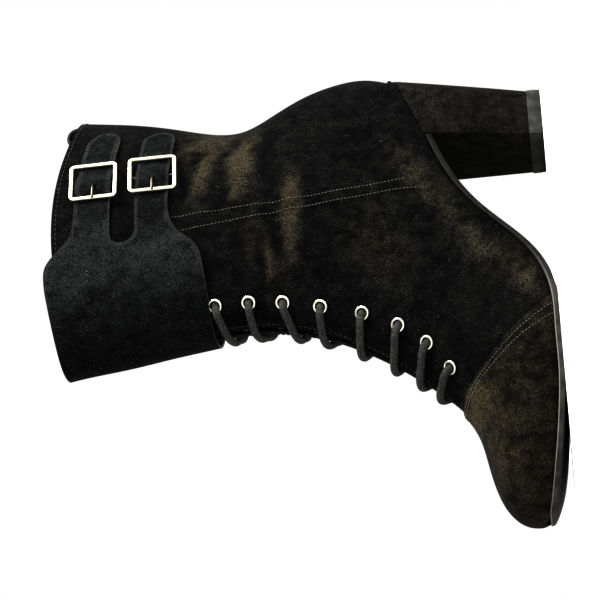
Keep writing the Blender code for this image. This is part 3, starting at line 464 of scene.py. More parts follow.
def wall_columns(row, side_columns):
    """Places around a section where the wall's facets meet, on both sides of the throat."""
    across = np.linalg.norm(last_face(row, 0.5) - last_face(row, 0.49)) / 0.01
    even = np.linspace(0.0, 0.5 - float(throat_half(row) / across), side_columns + 1)
    sides = [even, even]
    if row > ROW["heel_back"]:
        # Round the heel the columns run straight down and end on the feather line
        centre, edge = (float(value) for value in plan(column("back_s", row)))
        wide = float(plan(column("back_s", row), rounded=False)[1])
        split = 0.1 + 0.3 * float(column("widest", row))
        shape = float(column("low_shape", row))
        settled = float(smooth((row - ROW["heel_back"]) / HEEL_SETTLES_ROWS))
        turn = np.sin(np.clip(even / split, 0, 1) * math.pi / 2) ** shape
        for number, (side, swell) in enumerate(((1, "swell_out"), (-1, "swell_in"))):
            full = side * centre + wide + float(column(swell, row))
            near = side * centre * (edge > 0) + edge
            x = np.maximum(near * settled + (full - near * settled) * turn, near)
            angle = np.arcsin(np.clip((x - near) / (full - near), 0, 1) ** (1 / shape))
            sides[number] = np.where(even < split, split * angle * 2 / math.pi, even)
    return np.concatenate([sides[0], 1.0 - sides[1][::-1]])


def grid_faces(rows, columns, skip=None):
    """Quads of a grid whose points are listed row by row."""
    faces = []
    for i in range(rows - 1):
        for j in range(columns - 1):
            if skip is None or not skip(i, j):
                corner = i * columns + j
                faces.append((corner, corner + 1, corner + columns + 1, corner + columns))
    return faces


def piece(name, points, faces, materials, sharp=50.0, weld=0.03, marks=None):
    """Mesh from points in millimetres that rides on the boot; marks are values its points carry."""
    mesh = bpy.data.meshes.new(name)
    mesh.from_pydata([tuple(point) for point in np.asarray(points, float) * MM], [], faces)
    for label, values in (marks or {}).items():
        mesh.attributes.new(label, "FLOAT", "POINT").data.foreach_set(
            "value", np.asarray(values, np.float32).ravel())
    cage = bmesh.new()
    cage.from_mesh(mesh)
    bmesh.ops.remove_doubles(cage, verts=cage.verts, dist=weld * MM)
    bmesh.ops.delete(cage, geom=[v for v in cage.verts if not v.link_faces], context="VERTS")
    cage.to_mesh(mesh)
    cage.free()
    mesh.shade_smooth()
    mesh.set_sharp_from_angle(angle=math.radians(sharp))
    for material in materials:
        mesh.materials.append(material)
    made = bpy.data.objects.new(name, mesh)
    bpy.context.scene.collection.objects.link(made)
    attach(made, "root")
    return made


def wall(thing, thickness, side, inner=0, rim=0, rounding=0.0):
    """Thicken an open sheet; side 1 grows outward and -1 inward."""
    solid = thing.modifiers.new("wall", "SOLIDIFY")
    solid.thickness = thickness * MM
    solid.offset = side
    solid.material_offset = inner
    solid.material_offset_rim = rim
    if rounding:
        edge = thing.modifiers.new("edge", "BEVEL")
        edge.width = rounding * MM
        edge.segments = 2
        edge.angle_limit = math.radians(55)
    return thing


# Painted highlights, where the suede catches the light: toward the toe, height, half length, half height,
# lean, strength; the folds also get painted light on their ridges and painted shade in their troughs
PAINTED_HIGHLIGHTS = (
    (20.0, 172.0, 22.0, 18.0, 0.0, 0.60), (44.0, 180.0, 15.0, 3.5, -24.0, 0.45),
    (27.0, 155.0, 16.0, 8.0, -28.0, 0.60), (50.0, 158.0, 15.0, 4.5, -24.0, 0.52),
    (56.0, 129.0, 12.0, 7.0, 0.0, 0.35), (74.0, 131.0, 22.0, 6.0, -12.0, 0.45),
    (44.0, 70.0, 20.0, 9.0, 32.0, 0.34), (60.0, 58.0, 20.0, 8.0, 34.0, 0.34),
    (82.0, 86.0, 24.0, 15.0, 20.0, 0.40), (90.0, 40.0, 22.0, 9.0, 35.0, 0.48),
    (113.0, 15.0, 16.0, 9.0, 25.0, 0.52), (62.0, 140.0, 30.0, 12.0, 0.0, 0.18),
    (92.0, 143.5, 14.0, 2.6, -6.0, 0.75), (78.0, 153.0, 12.0, 4.0, 0.0, 0.30),
    (127.0, 64.0, 14.0, 9.0, 50.0, 0.15), (171.0, 44.0, 9.0, 9.0, 0.0, 1.20),
    (194.0, 30.0, 18.0, 8.0, 30.0, 0.55),
)
FOLD_PAINTED_LIGHT = 0.22


def painted_light(points):
    """Share of painted light on each point: painted highlights, with painted light and shade on the
    folds.
    """
    s, z = ORIGIN_S - points[..., 1], points[..., 2]
    share = np.zeros(s.shape)
    for patch_s, patch_z, half_s, half_z, lean, strength in PAINTED_HIGHLIGHTS:
        turn = math.radians(lean)
        ahead = (s - patch_s) * math.cos(turn) - (z - patch_z) * math.sin(turn)
        aside = (s - patch_s) * math.sin(turn) + (z - patch_z) * math.cos(turn)
        share += strength * np.exp(-(ahead / half_s) ** 2 - (aside / half_z) ** 2)
    return share + FOLD_PAINTED_LIGHT * folds(points)


def suede_colour(dark, plain, painted_highlight, lint):
    """Colour of suede: mottled from dark to plain, with painted shade and painted highlights, and lint.
    """
    def build(start):
        cloud, patch = start.noise(48.0, 3.0, 0.6), start.noise(190.0, 3.0, 0.65)
        grain = start.noise(1050.0, 2.0, 0.7).step(0.30, 0.70)
        grained = 0.10 + 1.65 * grain
        painted_light_share = start.painted("painted_light")
        # The painted light share darkens the mottling as painted shade and mixes in the painted highlight
        # colour
        mottled = (0.5 * (patch + cloud)).step(0.34, 0.68) * grained * (0.55 + 0.9 * painted_light_share)
        light = (painted_light_share * (1.5 * patch + 1.7 * cloud - 0.6)).step(0.02, 1.15) * grained
        speck = start.noise(1900.0, 0.0).step(0.73, 0.78) * start.noise(160.0, 1.0).step(0.35, 0.65)
        leather = light.colour(mottled.colour(dark, plain), painted_highlight)
        return (speck * lint).colour(leather, (0.22, 0.22, 0.20))
    return build


def suede_relief(start):
    """Short fibres over a finer grain."""
    return 0.6 * start.noise(1100.0, 3.0, 0.7) + 0.9 * start.noise(260.0, 2.0, 0.5)


def clouded(dark, light, scale, detail=2.0, rough=0.5, low=0.3, high=0.7):
    """Colour that drifts between two shades in patches; scale is in patches per metre."""
    return lambda start: start.noise(scale, detail, rough).step(low, high).colour(dark, light)


def uneven(least, spread, scale, detail=2.0):
    """Value that drifts upward from its least in patches."""
    return lambda start: least + spread * start.noise(scale, detail)


def suede(name, dark, plain, painted_highlight, lint, roughness, height, gloss=0.06):
    """Matt suede with hardly any gloss or sheen."""
    return finish(name, suede_colour(dark, plain, painted_highlight, lint), roughness, suede_relief, height,
                  Specular_IOR_Level=gloss, Sheen_Weight=0.02, Sheen_Roughness=0.4)


# Colours of a suede are dark, plain and its painted highlight, then come its lint, roughness and relief
SUEDE = suede("black_suede", (0.0036, 0.0038, 0.0041), (0.0215, 0.0212, 0.0195), (0.068, 0.058, 0.038),
              0.35, uneven(0.82, 0.15, 400.0), 0.00045)
LINING = finish("textile_lining", clouded((0.010, 0.010, 0.010), (0.030, 0.028, 0.026), 900.0), 0.9,
                lambda start: start.noise(1500.0, 1.0), 0.0002)
CUT_EDGE = finish("cut_edge", clouded((0.010, 0.010, 0.010), (0.035, 0.034, 0.030), 500.0), 0.85)

# Each outer eyelet's section row and distance from the ridge; the inner ones lie a little lower
EYELETS = ((4.02, 22.0), (4.89, 20.8), (5.97, 20.4), (7.56, 20.8),
           (12.00, 22.9), (14.45, 25.2), (15.88, 25.2), (17.10, 22.2))
INNER_STAGGER, LAST_INNER_ROW = 8.5, 17.45
EYELET_HOLE = 2.6


def eyelet_places(side):
    """Section row and distance from the ridge of each eyelet, outer or inner side."""
    fine = np.linspace(ROW["collar"], ROW["ball"], 500)
    travelled = run_length(last_face(fine, 0.5))
    places = []
    for row, distance in EYELETS:
        if side < 0:
            row = float(np.interp(np.interp(row, fine, travelled) + INNER_STAGGER, travelled, fine))
            row = min(row, LAST_INNER_ROW)
        places.append((row, side * distance))
    return places


def on_face(row, around, height=0.0):
    """Points and normals of the worn outer face, with the points at a height above it."""
    return lifted(row, around, height), outward(row, around)


def eyelet_frame(row, distance):
    """Centre and unit normal of an eyelet."""
    return on_face(row, around_at(row, distance))


def open_eyelets(thing):
    """Cut a round hole for each eyelet in a fine sheet: drop the faces there, then round the rim."""
    cage = bmesh.new()
    cage.from_mesh(thing.data)
    for side in (1, -1):
        for row, distance in eyelet_places(side):
            centre, normal = (Vector(part) for part in eyelet_frame(row, distance))
            centre = centre * MM
            near = [face for face in cage.faces
                    if (face.calc_center_median() - centre).length < EYELET_HOLE * MM]
            rim = {vert for face in near for vert in face.verts}
            bmesh.ops.delete(cage, geom=near, context="FACES")
            for vert in rim:
                if vert.is_valid and vert.link_faces:
                    away = vert.co - centre
                    height = away.dot(normal)
                    flat = away - normal * height
                    vert.co = centre + flat.normalized() * EYELET_HOLE * MM + normal * height
    cage.to_mesh(thing.data)
    cage.free()


UPPER_SIDE = 76
# Just below the heel's back the feather line ripples, so the rows step over that stretch
RIPPLE_FROM, RIPPLE_TO = 10.15, 11.4
shaft_rows = even_rows(ROW["collar"], ROW["heel_back"], 88)
heel_rows = np.concatenate([[RIPPLE_FROM], np.linspace(RIPPLE_TO, ROW["breast"], 26)])
foot_rows = even_rows(ROW["breast"], THROAT_END_ROW, 44)[1:]
vamp_rows = even_rows(THROAT_END_ROW, LAST_ROW, 50)[1:]
upper_rows = np.concatenate([shaft_rows, heel_rows, foot_rows, vamp_rows])
throat_rows = len(upper_rows) - len(vamp_rows)
upper_around = np.array([wall_columns(row, UPPER_SIDE) for row in upper_rows])
upper_points = lifted(upper_rows[:, None], upper_around, np.zeros(upper_around.shape))
columns = upper_around.shape[1]
upper_faces = grid_faces(len(upper_rows), columns,
                         lambda i, j: j == UPPER_SIDE and i < throat_rows - 1)
upper_faces.append(tuple(range((len(upper_rows) - 1) * columns, len(upper_rows) * columns)))
upper = piece("suede_upper", upper_points.reshape(-1, 3), upper_faces, [SUEDE, LINING, CUT_EDGE],
              marks={"painted_light": painted_light(upper_points)})
open_eyelets(upper)
wall(upper, WALL, -1, inner=1, rim=2)
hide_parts("upper")


# Stitches. Waxed thread runs along the throat and collar, and a finer grey thread runs in two rows
# along the side seam. Each stitch is a short round bead whose ends sink into the suede.
def ring_faces(count, size, first=0, closed=False, turned_over=False):
    """Quads between rings of points; closed joins the last ring to the first."""
    faces = []
    for ring in range(count if closed else count - 1):
        for k in range(size):
            a, b = ring * size + k, ring * size + (k + 1) % size
            c, d = ((corner + size) % (count * size) for corner in (a, b))
            corners = (a, b, d, c) if turned_over else (a, c, d, b)
            faces.append(tuple(first + corner for corner in corners))
    return faces


# Pitch, length and radius of the stitches along the leather's edges, and of the finer seam stitches
EDGE_STITCH, SEAM_STITCH = (2.7, 1.9, 0.24), (1.9, 1.35, 0.22)
# A stitch's rings: place along it, share of its radius, height
STITCH_RINGS = ((-0.5, 0.35, -0.22), (-0.36, 0.9, 0.0), (0.0, 1.0, 0.08),
                (0.36, 0.9, 0.0), (0.5, 0.35, -0.22))
STITCH_PROUD = 0.35
WAXED_THREAD = finish("waxed_thread", clouded((0.016, 0.016, 0.015), (0.060, 0.058, 0.052), 700.0), 0.6)
SEAM_THREAD = finish("seam_thread", clouded((0.080, 0.078, 0.070), (0.190, 0.185, 0.165), 700.0), 0.6)


def sewn(name, paths, stitch, material):
    """Rows of thread stitches along paths of points and normals in millimetres, as one piece."""
    pitch, length, radius = stitch
    sides = 6
    points, faces = [], []
    for path, normals in paths:
        travelled = run_length(path)
        for at in np.arange(pitch / 2, travelled[-1] - pitch / 2, pitch):
            centre = np.array([np.interp(at, travelled, path[:, axis]) for axis in range(3)])
            ahead = np.array([np.interp(at + 0.4, travelled, path[:, axis]) for axis in range(3)])
            up = np.array([np.interp(at, travelled, normals[:, axis]) for axis in range(3)])
            along = (ahead - centre) / max(np.linalg.norm(ahead - centre), 1e-9)
            aside = np.cross(up, along)
            first = len(points)
            for share, wide, height in STITCH_RINGS:
                middle = centre + along * share * length
                for angle in np.arange(sides) * 2 * math.pi / sides:
                    rise = radius * (STITCH_PROUD + wide * math.sin(angle)) + height
                    points.append(middle + aside * radius * wide * math.cos(angle) + up * rise)
            faces += ring_faces(len(STITCH_RINGS), sides, first, turned_over=True)
            faces.append(tuple(first + turn for turn in reversed(range(sides))))
            faces.append(tuple(first + (len(STITCH_RINGS) - 1) * sides + turn for turn in range(sides)))
    return piece(name, points, faces, [material], weld=0.0001)


side_paths = []
for side in (1, -1):
    for table, from_edge in ((SEAM_EDGE, 1.1), (SEAM_ABOVE, 0.0)):
        seam_s, seam_z = seam_line(table)
        side_paths.append(on_face(*on_side(seam_s - from_edge, seam_z, side)))
side_stitches = sewn("side_seam_stitches", side_paths, SEAM_STITCH, SEAM_THREAD)

THROAT_INSET = 2.6
sewn_rows = np.linspace(ROW["collar"] + 0.12, THROAT_END_ROW - 0.1, 160)
edge_paths = []
for side in (1, -1):
    from_ridge = side * (throat_half(sewn_rows) + THROAT_INSET)
    edge_paths.append(on_face(sewn_rows, around_at(sewn_rows, from_ridge)))
collar_around = np.linspace(0.485, 0.0, 60)
for around in (collar_around, 1 - collar_around):
    edge_paths.append(on_face(np.full(len(around), ROW["collar"] + 0.1), around))
edge_stitches = sewn("edge_stitches", edge_paths, EDGE_STITCH, WAXED_THREAD)


# Toe cap. The front of the vamp is a second panel of browner suede, laid over the first and sewn
# down with two rows along its curved back edge.
CAP_SEAM_ROW, CAP_SEAM_AT_RIDGE = 18.2, 0.3
CAP_THICKNESS = 1.1
CAP_SIDE = 58
# The cap ends just short of the feather line on both sides
CAP_FROM = 0.012
NOSE_RINGS, NOSE_BULGE = 4, 0.5
# The two rows of stitches run this many section rows in from the cap's edge
CAP_ROW_INSETS = (0.14, 0.31)
BROWN_SUEDE = suede("brown_black_suede", (0.0058, 0.0055, 0.0049), (0.034, 0.031, 0.024),
                    (0.088, 0.073, 0.044), 0.4, uneven(0.84, 0.14, 400.0), 0.0006)


def cap_row(row, around):
    """Row of the cap's edge: the seam runs farther toward the toe at the ridge."""
    way = 1 - abs(2 * around - 1)
    share = np.clip(1 - (row - CAP_SEAM_ROW) / 1.5, 0, 1)
    return row + CAP_SEAM_AT_RIDGE * np.clip((way - 0.6) / 0.4, 0, 1) ** 2 * share


cap_rows = even_rows(CAP_SEAM_ROW, LAST_ROW, 70)
cap_around = np.linspace(CAP_FROM, 1 - CAP_FROM, 2 * CAP_SIDE + 1)
cap_at = cap_row(cap_rows[:, None], cap_around[None, :])
cap_points = lifted(cap_at, np.broadcast_to(cap_around, cap_at.shape), GAP)
cap_faces = grid_faces(len(cap_rows), len(cap_around))
nose = cap_points[-1]
nose_middle = nose.mean(axis=0)
rings = [cap_points.reshape(-1, 3)]
for ring in range(1, NOSE_RINGS + 1):
    share = ring / (NOSE_RINGS + 1)
    bulge = np.array([0.0, -NOSE_BULGE * (1 - (1 - share) ** 2), 0.0])
    rings.append(nose + (nose_middle - nose) * share + bulge)
    for j in range(len(nose) - 1):
        a = (len(cap_points) + ring - 2) * len(nose) + j
        cap_faces.append((a, a + 1, a + 1 + len(nose), a + len(nose)))
last_ring = (len(cap_points) + NOSE_RINGS - 1) * len(nose)
cap_faces.append(tuple(range(last_ring, last_ring + len(nose))))
# The cap's painted light: an even base share with the painted highlights over it
cap_painted_light = 0.22 + 0.5 * painted_light(np.concatenate(rings))
toe_cap = piece("suede_toe_cap", np.concatenate(rings), cap_faces,
                [BROWN_SUEDE, BROWN_SUEDE, CUT_EDGE], marks={"painted_light": cap_painted_light}, weld=0.002)
wall(toe_cap, CAP_THICKNESS, 1, rim=2)
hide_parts("toe_cap")

cap_paths = []
for inset in CAP_ROW_INSETS:
    around = np.linspace(0.03, 0.97, 200)
    row = cap_row(np.full(200, CAP_SEAM_ROW), around) + inset * (0.6 + 0.8 * abs(2 * around - 1) ** 0.7)
    cap_paths.append(on_face(row, around, GAP + CAP_THICKNESS))
cap_stitches = sewn("toe_cap_stitches", cap_paths, SEAM_STITCH, SEAM_THREAD)


# Eyelets and lace. Each eyelet is a nickel plated rolled ring whose barrel goes through the wall.
# One round cord runs up through the outer eyelet, over the throat and down through the inner one.
# Radius of the ring's middle line and of the roll itself
EYELET_RING, EYELET_WIRE = 3.05, 0.8
# The lace comes down from the rings to the leather over this distance, and runs clear of its inside
LACE_RADIUS, LACE_SETTLES, LACE_CLEAR = 2.0, 9.0, 0.5
# How late each run turns toward its inner eyelet
LACE_LEAN = (1.0, 3.0, 1.0, 3.2, 3.0, 4.0, 3.2, 4.0)
SILVER = finish("silver_metal", clouded((0.80, 0.77, 0.68), (0.62, 0.58, 0.48), 300.0, 3.0, high=0.8),
                uneven(0.16, 0.2, 500.0, 3.0), Metallic=1.0)


def turned(name, place, profile, material, count=28):
    """Closed ring turned from a closed profile of radius and height, at a centre and normal."""
    centre, normal = Vector(place[0]), Vector(place[1])
    turn = normal.to_track_quat("Z", "Y").to_matrix()
    points = []
    for angle in np.arange(count) * 2 * math.pi / count:
        for radius, height in profile:
            local = Vector((radius * math.cos(angle), radius * math.sin(angle), height))
            points.append(centre + turn @ local)
    faces = ring_faces(count, len(profile), closed=True)
    return piece(name, points, faces, [material], sharp=60, weld=0.0001)


# The rolled ring outside, then the barrel, and the flange that is turned over inside
barrel_end = -WALL - 0.7
eyelet_profile = [(EYELET_RING + EYELET_WIRE * math.cos(angle), GAP + EYELET_WIRE * (1 + math.sin(angle)))
                  for angle in np.radians(np.arange(-60, 181, 24))]
eyelet_profile += [(EYELET_RING + out, barrel_end + up) for out, up in (
    (-EYELET_WIRE, 0.4), (0.3 - EYELET_WIRE, 0.0), (0.6, -0.1), (0.7, 0.35), (-0.55, 0.6))]
eyelet_profile.append((EYELET_RING - 0.55, GAP - 0.1))
for side, label in ((1, "outer"), (-1, "inner")):
    for number, (row, distance) in enumerate(eyelet_places(side), start=1):
        ring = turned(f"{label}_ring_{number}", eyelet_frame(row, distance), eyelet_profile, SILVER)
        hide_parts(f"{label}_eyelet_{number}")


def rounded_route(points, spacing):
    """Smooth route through a few points, as evenly spaced points."""
    points = np.asarray(points, float)
    for _ in range(2):
        travelled = run_length(points)
        at = np.linspace(0, travelled[-1], max(4, int(travelled[-1] / spacing)))
        points = np.stack([spline(travelled, points[:, axis], at) for axis in range(3)], axis=-1)
    return points


def tube(name, route, radius, material, sides=14, end_share=0.45):
    """Round cord or bar along a route in millimetres; its points carry their running length."""
    count = len(route)
    ahead = np.gradient(route, axis=0)
    ahead = ahead / np.linalg.norm(ahead, axis=1, keepdims=True)
    side = np.zeros_like(route)
    side[0] = np.cross(ahead[0], (0.0, 0.0, 1.0))
    side[0] /= np.linalg.norm(side[0])
    for i in range(1, count):
        side[i] = side[i - 1] - ahead[i] * side[i - 1].dot(ahead[i])
        side[i] /= np.linalg.norm(side[i])
    up = np.cross(side, ahead)
    points = []
    for i in range(count):
        here = radius * (end_share if i in (0, count - 1) else 1.0)
        for angle in np.arange(sides) * 2 * math.pi / sides:
            points.append(route[i] + here * (side[i] * math.cos(angle) + up[i] * math.sin(angle)))
    faces = ring_faces(count, sides)
    faces.append(tuple(range(sides)))
    faces.append(tuple((count - 1) * sides + k for k in reversed(range(sides))))
    return piece(name, points, faces, [material], sharp=60, weld=0.0001,
                 marks={"along": np.repeat(run_length(route), sides)})


def lace_route():
    """The lace from the top outer eyelet to the last inner one, out through each outer one and in
    through the inner one beside it."""
    outer, inner = eyelet_places(1), eyelet_places(-1)
    over_ring = GAP + 2 * EYELET_WIRE + 2 * GAP + LACE_RADIUS
    under_wall = -WALL - LACE_RADIUS - LACE_CLEAR
    in_hole = (under_wall + 1.2, 0.3)
    route = []
    for number, (start, end) in enumerate(zip(outer, inner)):
        centre, normal = eyelet_frame(*start)
        route += [centre + normal * height for height in in_hole]
        for share in np.linspace(0.09, 0.91, 8):
            row = start[0] + (end[0] - start[0]) * share ** LACE_LEAN[number]
            distance = start[1] + (end[1] - start[1]) * share
            settled = min(start[1] - abs(distance), LACE_SETTLES) / LACE_SETTLES
            lift = over_ring + (LACE_RADIUS + GAP - over_ring) * settled
            route.append(lifted(row, around_at(row, distance), lift))
        centre, normal = eyelet_frame(*end)
        route += [centre + normal * height for height in reversed(in_hole)]
        if number + 1 < len(outer):
            following = outer[number + 1]
            for share in (0.14, 0.32, 0.5, 0.68, 0.86):
                row = end[0] + (following[0] - end[0]) * share
                distance = end[1] + (following[1] - end[1]) * share
                route.append(lifted(row, around_at(row, distance), under_wall))
    return route


def braid(start):
    """Fine cross braid of the cord."""
    weave = start.math("SINE", start.painted("along") * 7.0)
    return 0.25 * weave + start.noise(1800.0, 2.0)


LACE = finish(
    "braided_cord", clouded((0.030, 0.031, 0.029), (0.088, 0.090, 0.082), 900.0, low=0.25, high=0.75),
    0.8, braid, 0.00015, Specular_IOR_Level=0.15)
lace = tube("round_lace", rounded_route(lace_route(), 1.1), LACE_RADIUS, LACE)
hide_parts(*[f"lace_bar_{number}" for number in range(1, 9)])


# Tongue. A soft strip of lined suede behind the throat, pressed in where the lace crosses under the
# facings. Its lower end is sewn in between the vamp and the lining.
TONGUE_HALF, TONGUE_THICKNESS, TONGUE_GAP = 17.0, 1.6, 0.7
TONGUE_TOP_ROW, TONGUE_END_ROW = ROW["collar"] - 0.1, CAP_SEAM_ROW + 0.4
PRESSED_IN, PRESSED_WIDTH = 2 * LACE_RADIUS + 0.6, 5.5
tongue_rows = even_rows(TONGUE_TOP_ROW, TONGUE_END_ROW, 150)
tongue_distance = np.linspace(TONGUE_HALF, -TONGUE_HALF, 33)
tongue_around = around_at(tongue_rows[:, None], tongue_distance)
crossings = []
outer_places, inner_places = np.array(eyelet_places(1)), np.array(eyelet_places(-1))
for start, end in zip(inner_places[:-1], outer_places[1:]):
    crossings += [start + (end - start) * share for share in np.linspace(0, 1, 15)]
crossings = np.concatenate([crossings, outer_places, inner_places])
lace_inside = last_face(crossings[:, 0], around_at(crossings[:, 0], crossings[:, 1]))
tongue_base = last_face(tongue_rows[:, None], tongue_around)
clear = np.min(np.linalg.norm(tongue_base[:, :, None, :] - lace_inside[None, None], axis=-1), axis=-1)
tongue_lift = -WALL - TONGUE_GAP - PRESSED_IN * np.exp(-(clear / PRESSED_WIDTH) ** 2)
tongue_points = lifted(tongue_rows[:, None], tongue_around, tongue_lift)
tongue = piece("soft_tongue", tongue_points.reshape(-1, 3), grid_faces(*tongue_around.shape),
               [SUEDE, LINING, CUT_EDGE], marks={"painted_light": np.full(clear.shape, 0.15)})
wall(tongue, TONGUE_THICKNESS, -1, inner=1, rim=2, rounding=0.4)
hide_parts("tongue")


# Outsole. A thin unit from the heel's breast to the toe, its edge trimmed square and dyed dark, with a
# painted sheen toward the toe and a painted highlight along the top; the underside is plain with a light
# grain.
SOLE_THICKNESS, SEAT_GAP, BREAST_S = 3.0, 0.4, 27.6
# Painted sheen turns the edge dark to grey between these distances from the origin toward the toe, in
# metres
DARK_TO, GREY_FROM = 0.075, 0.125
TIP_FROM, TIP_LENGTH, TIP_WELT = 200.0, 22.0, 0.5


def sole_edge_colour(start):
    """Dark dyed edge, greyer toward the toe by painted sheen, with a painted highlight line along its
    top.
    """
    place = start.node("ShaderNodeTexCoord", output="Object")
    ahead = 0.0 - start.node("ShaderNodeSeparateXYZ", inputs={0: place}, output=1)
    toe = ahead.step(DARK_TO, GREY_FROM)
    cloud = start.noise(160.0, 3.0).step(0.3, 0.75)
    body = toe.colour(cloud.colour((0.008, 0.008, 0.008), (0.022, 0.020, 0.018)),
                      cloud.colour((0.034, 0.033, 0.030), (0.085, 0.080, 0.068)))
    painted_edge_highlight = start.painted("height").step(0.72, 0.95) * (0.06 + 0.94 * toe)
    return painted_edge_highlight.colour(body, (0.20, 0.195, 0.18))


SOLE_EDGE = finish("sole_edge", sole_edge_colour, uneven(0.5, 0.3, 300.0),
                   lambda start: start.noise(500.0, 3.0), 0.0002, Specular_IOR_Level=0.2)
SOLE_UNDER = finish(
    "sole_under", clouded((0.020, 0.019, 0.018), (0.060, 0.056, 0.050), 90.0, 4.0, 0.65, high=0.75),
    uneven(0.55, 0.3, 240.0), lambda start: start.noise(700.0, 3.0) + 0.6 * start.noise(90.0), 0.0003)


def plan_edges(first, last, count, stands_out, tuck):
    """Outer and inner edge of the foot's plan, as rows of x and s. A piece that stays well inside the
    plan has no welt."""
    share = (1 - np.cos(np.linspace(0, math.pi, count))) / 2
    s = first + (last - first) * share
    rows = np.array(PLAN)
    welt = np.full(count, stands_out)
    if stands_out > -1.5:
        near_tip = smooth((s - TIP_FROM) / TIP_LENGTH)
        welt = spline(rows[:, 0], rows[:, 3], s) * (1 - TIP_WELT * near_tip)
        welt = welt + stands_out - tuck * near_tip
    edges = []
    for side in (1.0, -1.0):
        centre, half = plan(s)
        x = centre + side * half
        run, rise = np.gradient(s), np.gradient(x)
        length = np.hypot(run, rise)
        edges.append(np.stack([x + welt * side * run / length, s - welt * side * rise / length], axis=-1))
    return edges


def faced_outward(thing):
    """Turn a closed mesh's faces outward."""
    cage = bmesh.new()
    cage.from_mesh(thing.data)
    bmesh.ops.recalc_face_normals(cage, faces=cage.faces)
    cage.to_mesh(thing.data)
    cage.free()
    return thing


def slab(name, levels, count, first, last, materials):
    """Closed plate from levels of (stands out, tucks in at the toe, height, mark), top first."""
    points, marks = [], []
    for stands_out, tuck, height, mark in levels:
        outer, inner = plan_edges(first, last, count, stands_out, tuck)
        loop = np.concatenate([outer, inner[::-1]])
        points.append(np.stack([loop[:, 0], ORIGIN_S - loop[:, 1], height(loop[:, 1])], axis=-1))
        marks += [mark] * len(loop)
    size = 2 * count
    faces = ring_faces(len(levels), size, turned_over=True)
    bottom = (len(levels) - 1) * size
    for i in range(count - 1):
        faces.append((i, size - 1 - i, size - 2 - i, i + 1))
        faces.append((bottom + i, bottom + i + 1, bottom + size - 2 - i, bottom + size - 1 - i))
    return faced_outward(piece(name, np.concatenate(points), faces, materials, sharp=40, weld=0.002,
                               marks={"height": marks}))


def sole_top(s):
    """Height of the sole's upper face."""
    return feather_height(s) - SEAT_GAP


def sole_low(s):
    """Height of its underside, which is flat on the floor under the ball."""
    return np.maximum(sole_top(s) - SOLE_THICKNESS, 0.0)


# Levels from the top down; the mark carries the painted highlight line at the top of the edge
outsole = slab("trimmed_outsole", (
    (-0.45, 0.0, sole_top, 1.0),
    (-0.10, 0.0, lambda s: sole_top(s) - 0.12, 1.0),
    (0.0, 0.0, lambda s: sole_top(s) - 0.5, 0.9),
    (0.0, 0.1, lambda s: sole_top(s) - 0.85, 0.6),
    (-0.05, 0.9, lambda s: sole_low(s) + 0.6, 0.2),
    (-0.20, 1.9, lambda s: sole_low(s) + 0.15, 0.1),
    (-0.60, 2.9, sole_low, 0.0),
), 120, BREAST_S, TOE_TIP - 0.01, [SOLE_EDGE, SOLE_UNDER])
for polygon in outsole.data.polygons:
    polygon.material_index = 1 if polygon.normal.z < -0.8 else 0
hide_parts("outsole")


# Insole. The board inside the boot, covered in the lining's cloth, with a soft rounded edge. The
# upper is lasted round it, and the foot rests on it.
insole = slab("covered_insole", (
    (-3.4, 0.0, lambda s: feather_height(s) + 2.2, 1.0),
    (-2.8, 0.0, lambda s: feather_height(s) + 1.9, 0.8),
    (-2.6, 0.0, lambda s: feather_height(s) + 1.2, 0.5),
    (-2.6, 0.0, feather_height, 0.0),
), 90, HEEL_REAR + 0.01, TOE_TIP - 3.5, [LINING])
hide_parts("insole")


# Heel. An 80 mm block with a suede cover glued round it, cut straight at its breast and fixed under
# the boot's seat. The rubber top lift is nailed to its base and stands out a little.
TOP_LIFT, HEEL_ON_LIFT = 7.0, 0.02
# Rear, front and half width of the heel at its base and top
HEEL_BASE, HEEL_TOP = (-3.0, 30.0, 22.0), (-15.8, 27.0, 28.2)
# At its top the heel's back part is drawn in under the upper, and its rear rim is raised to meet it
SNUG_FROM, SNUG_MARGIN, SNUG_BEFORE = 0.6, 1.3, 10.0
RIM_RAISE, RIM_FROM, RIM_LENGTH = 0.95, -14.4, 1.3
HEEL_UNDER_FEATHER = 0.15
LIFT_STANDS_OUT = 0.4
# Its outline: small corners at the breast, and a round back over this share of its length
HEEL_CORNER, HEEL_BACK_SHARE, HEEL_BACK_POWER = 1.6, 0.6, 2.5
HEEL_SUEDE = suede("heel_suede", (0.0062, 0.0060, 0.0058), (0.026, 0.025, 0.021), (0.040, 0.037, 0.028),
                   0.3, uneven(0.82, 0.15, 400.0), 0.0004)
LIFT_RUBBER = finish(
    "lift_rubber", clouded((0.038, 0.038, 0.036), (0.075, 0.074, 0.070), 220.0, 3.0, high=0.75),
    uneven(0.55, 0.25, 300.0), lambda start: start.noise(600.0, 2.0), 0.0002, Specular_IOR_Level=0.2)


def heel_ring(rear, front, half):
    """Outline of the heel at one level: round back, straight sides and a flat breast."""
    across = 12
    crowded_rearward = np.linspace(0, 1, 44) ** 1.6
    s = rear + (front - rear) * crowded_rearward
    back = np.clip(1 - (s - rear) / (HEEL_BACK_SHARE * (front - rear)), 0, 1)
    x = half * (1 - back ** HEEL_BACK_POWER) ** (1 / HEEL_BACK_POWER)
    near = np.clip((s - (front - HEEL_CORNER)) / HEEL_CORNER, 0, 1)
    x = x - HEEL_CORNER * (1 - np.sqrt(1 - near ** 2))
    breast = np.linspace(1, 0, across)[1:]
    outer = np.concatenate([np.stack([x, s], axis=-1),
                            np.stack([x[-1] * breast, np.full(across - 1, front)], axis=-1)])
    inner = np.stack([-outer[1:-1, 0], outer[1:-1, 1]], axis=-1)[::-1]
    return np.concatenate([outer, inner])


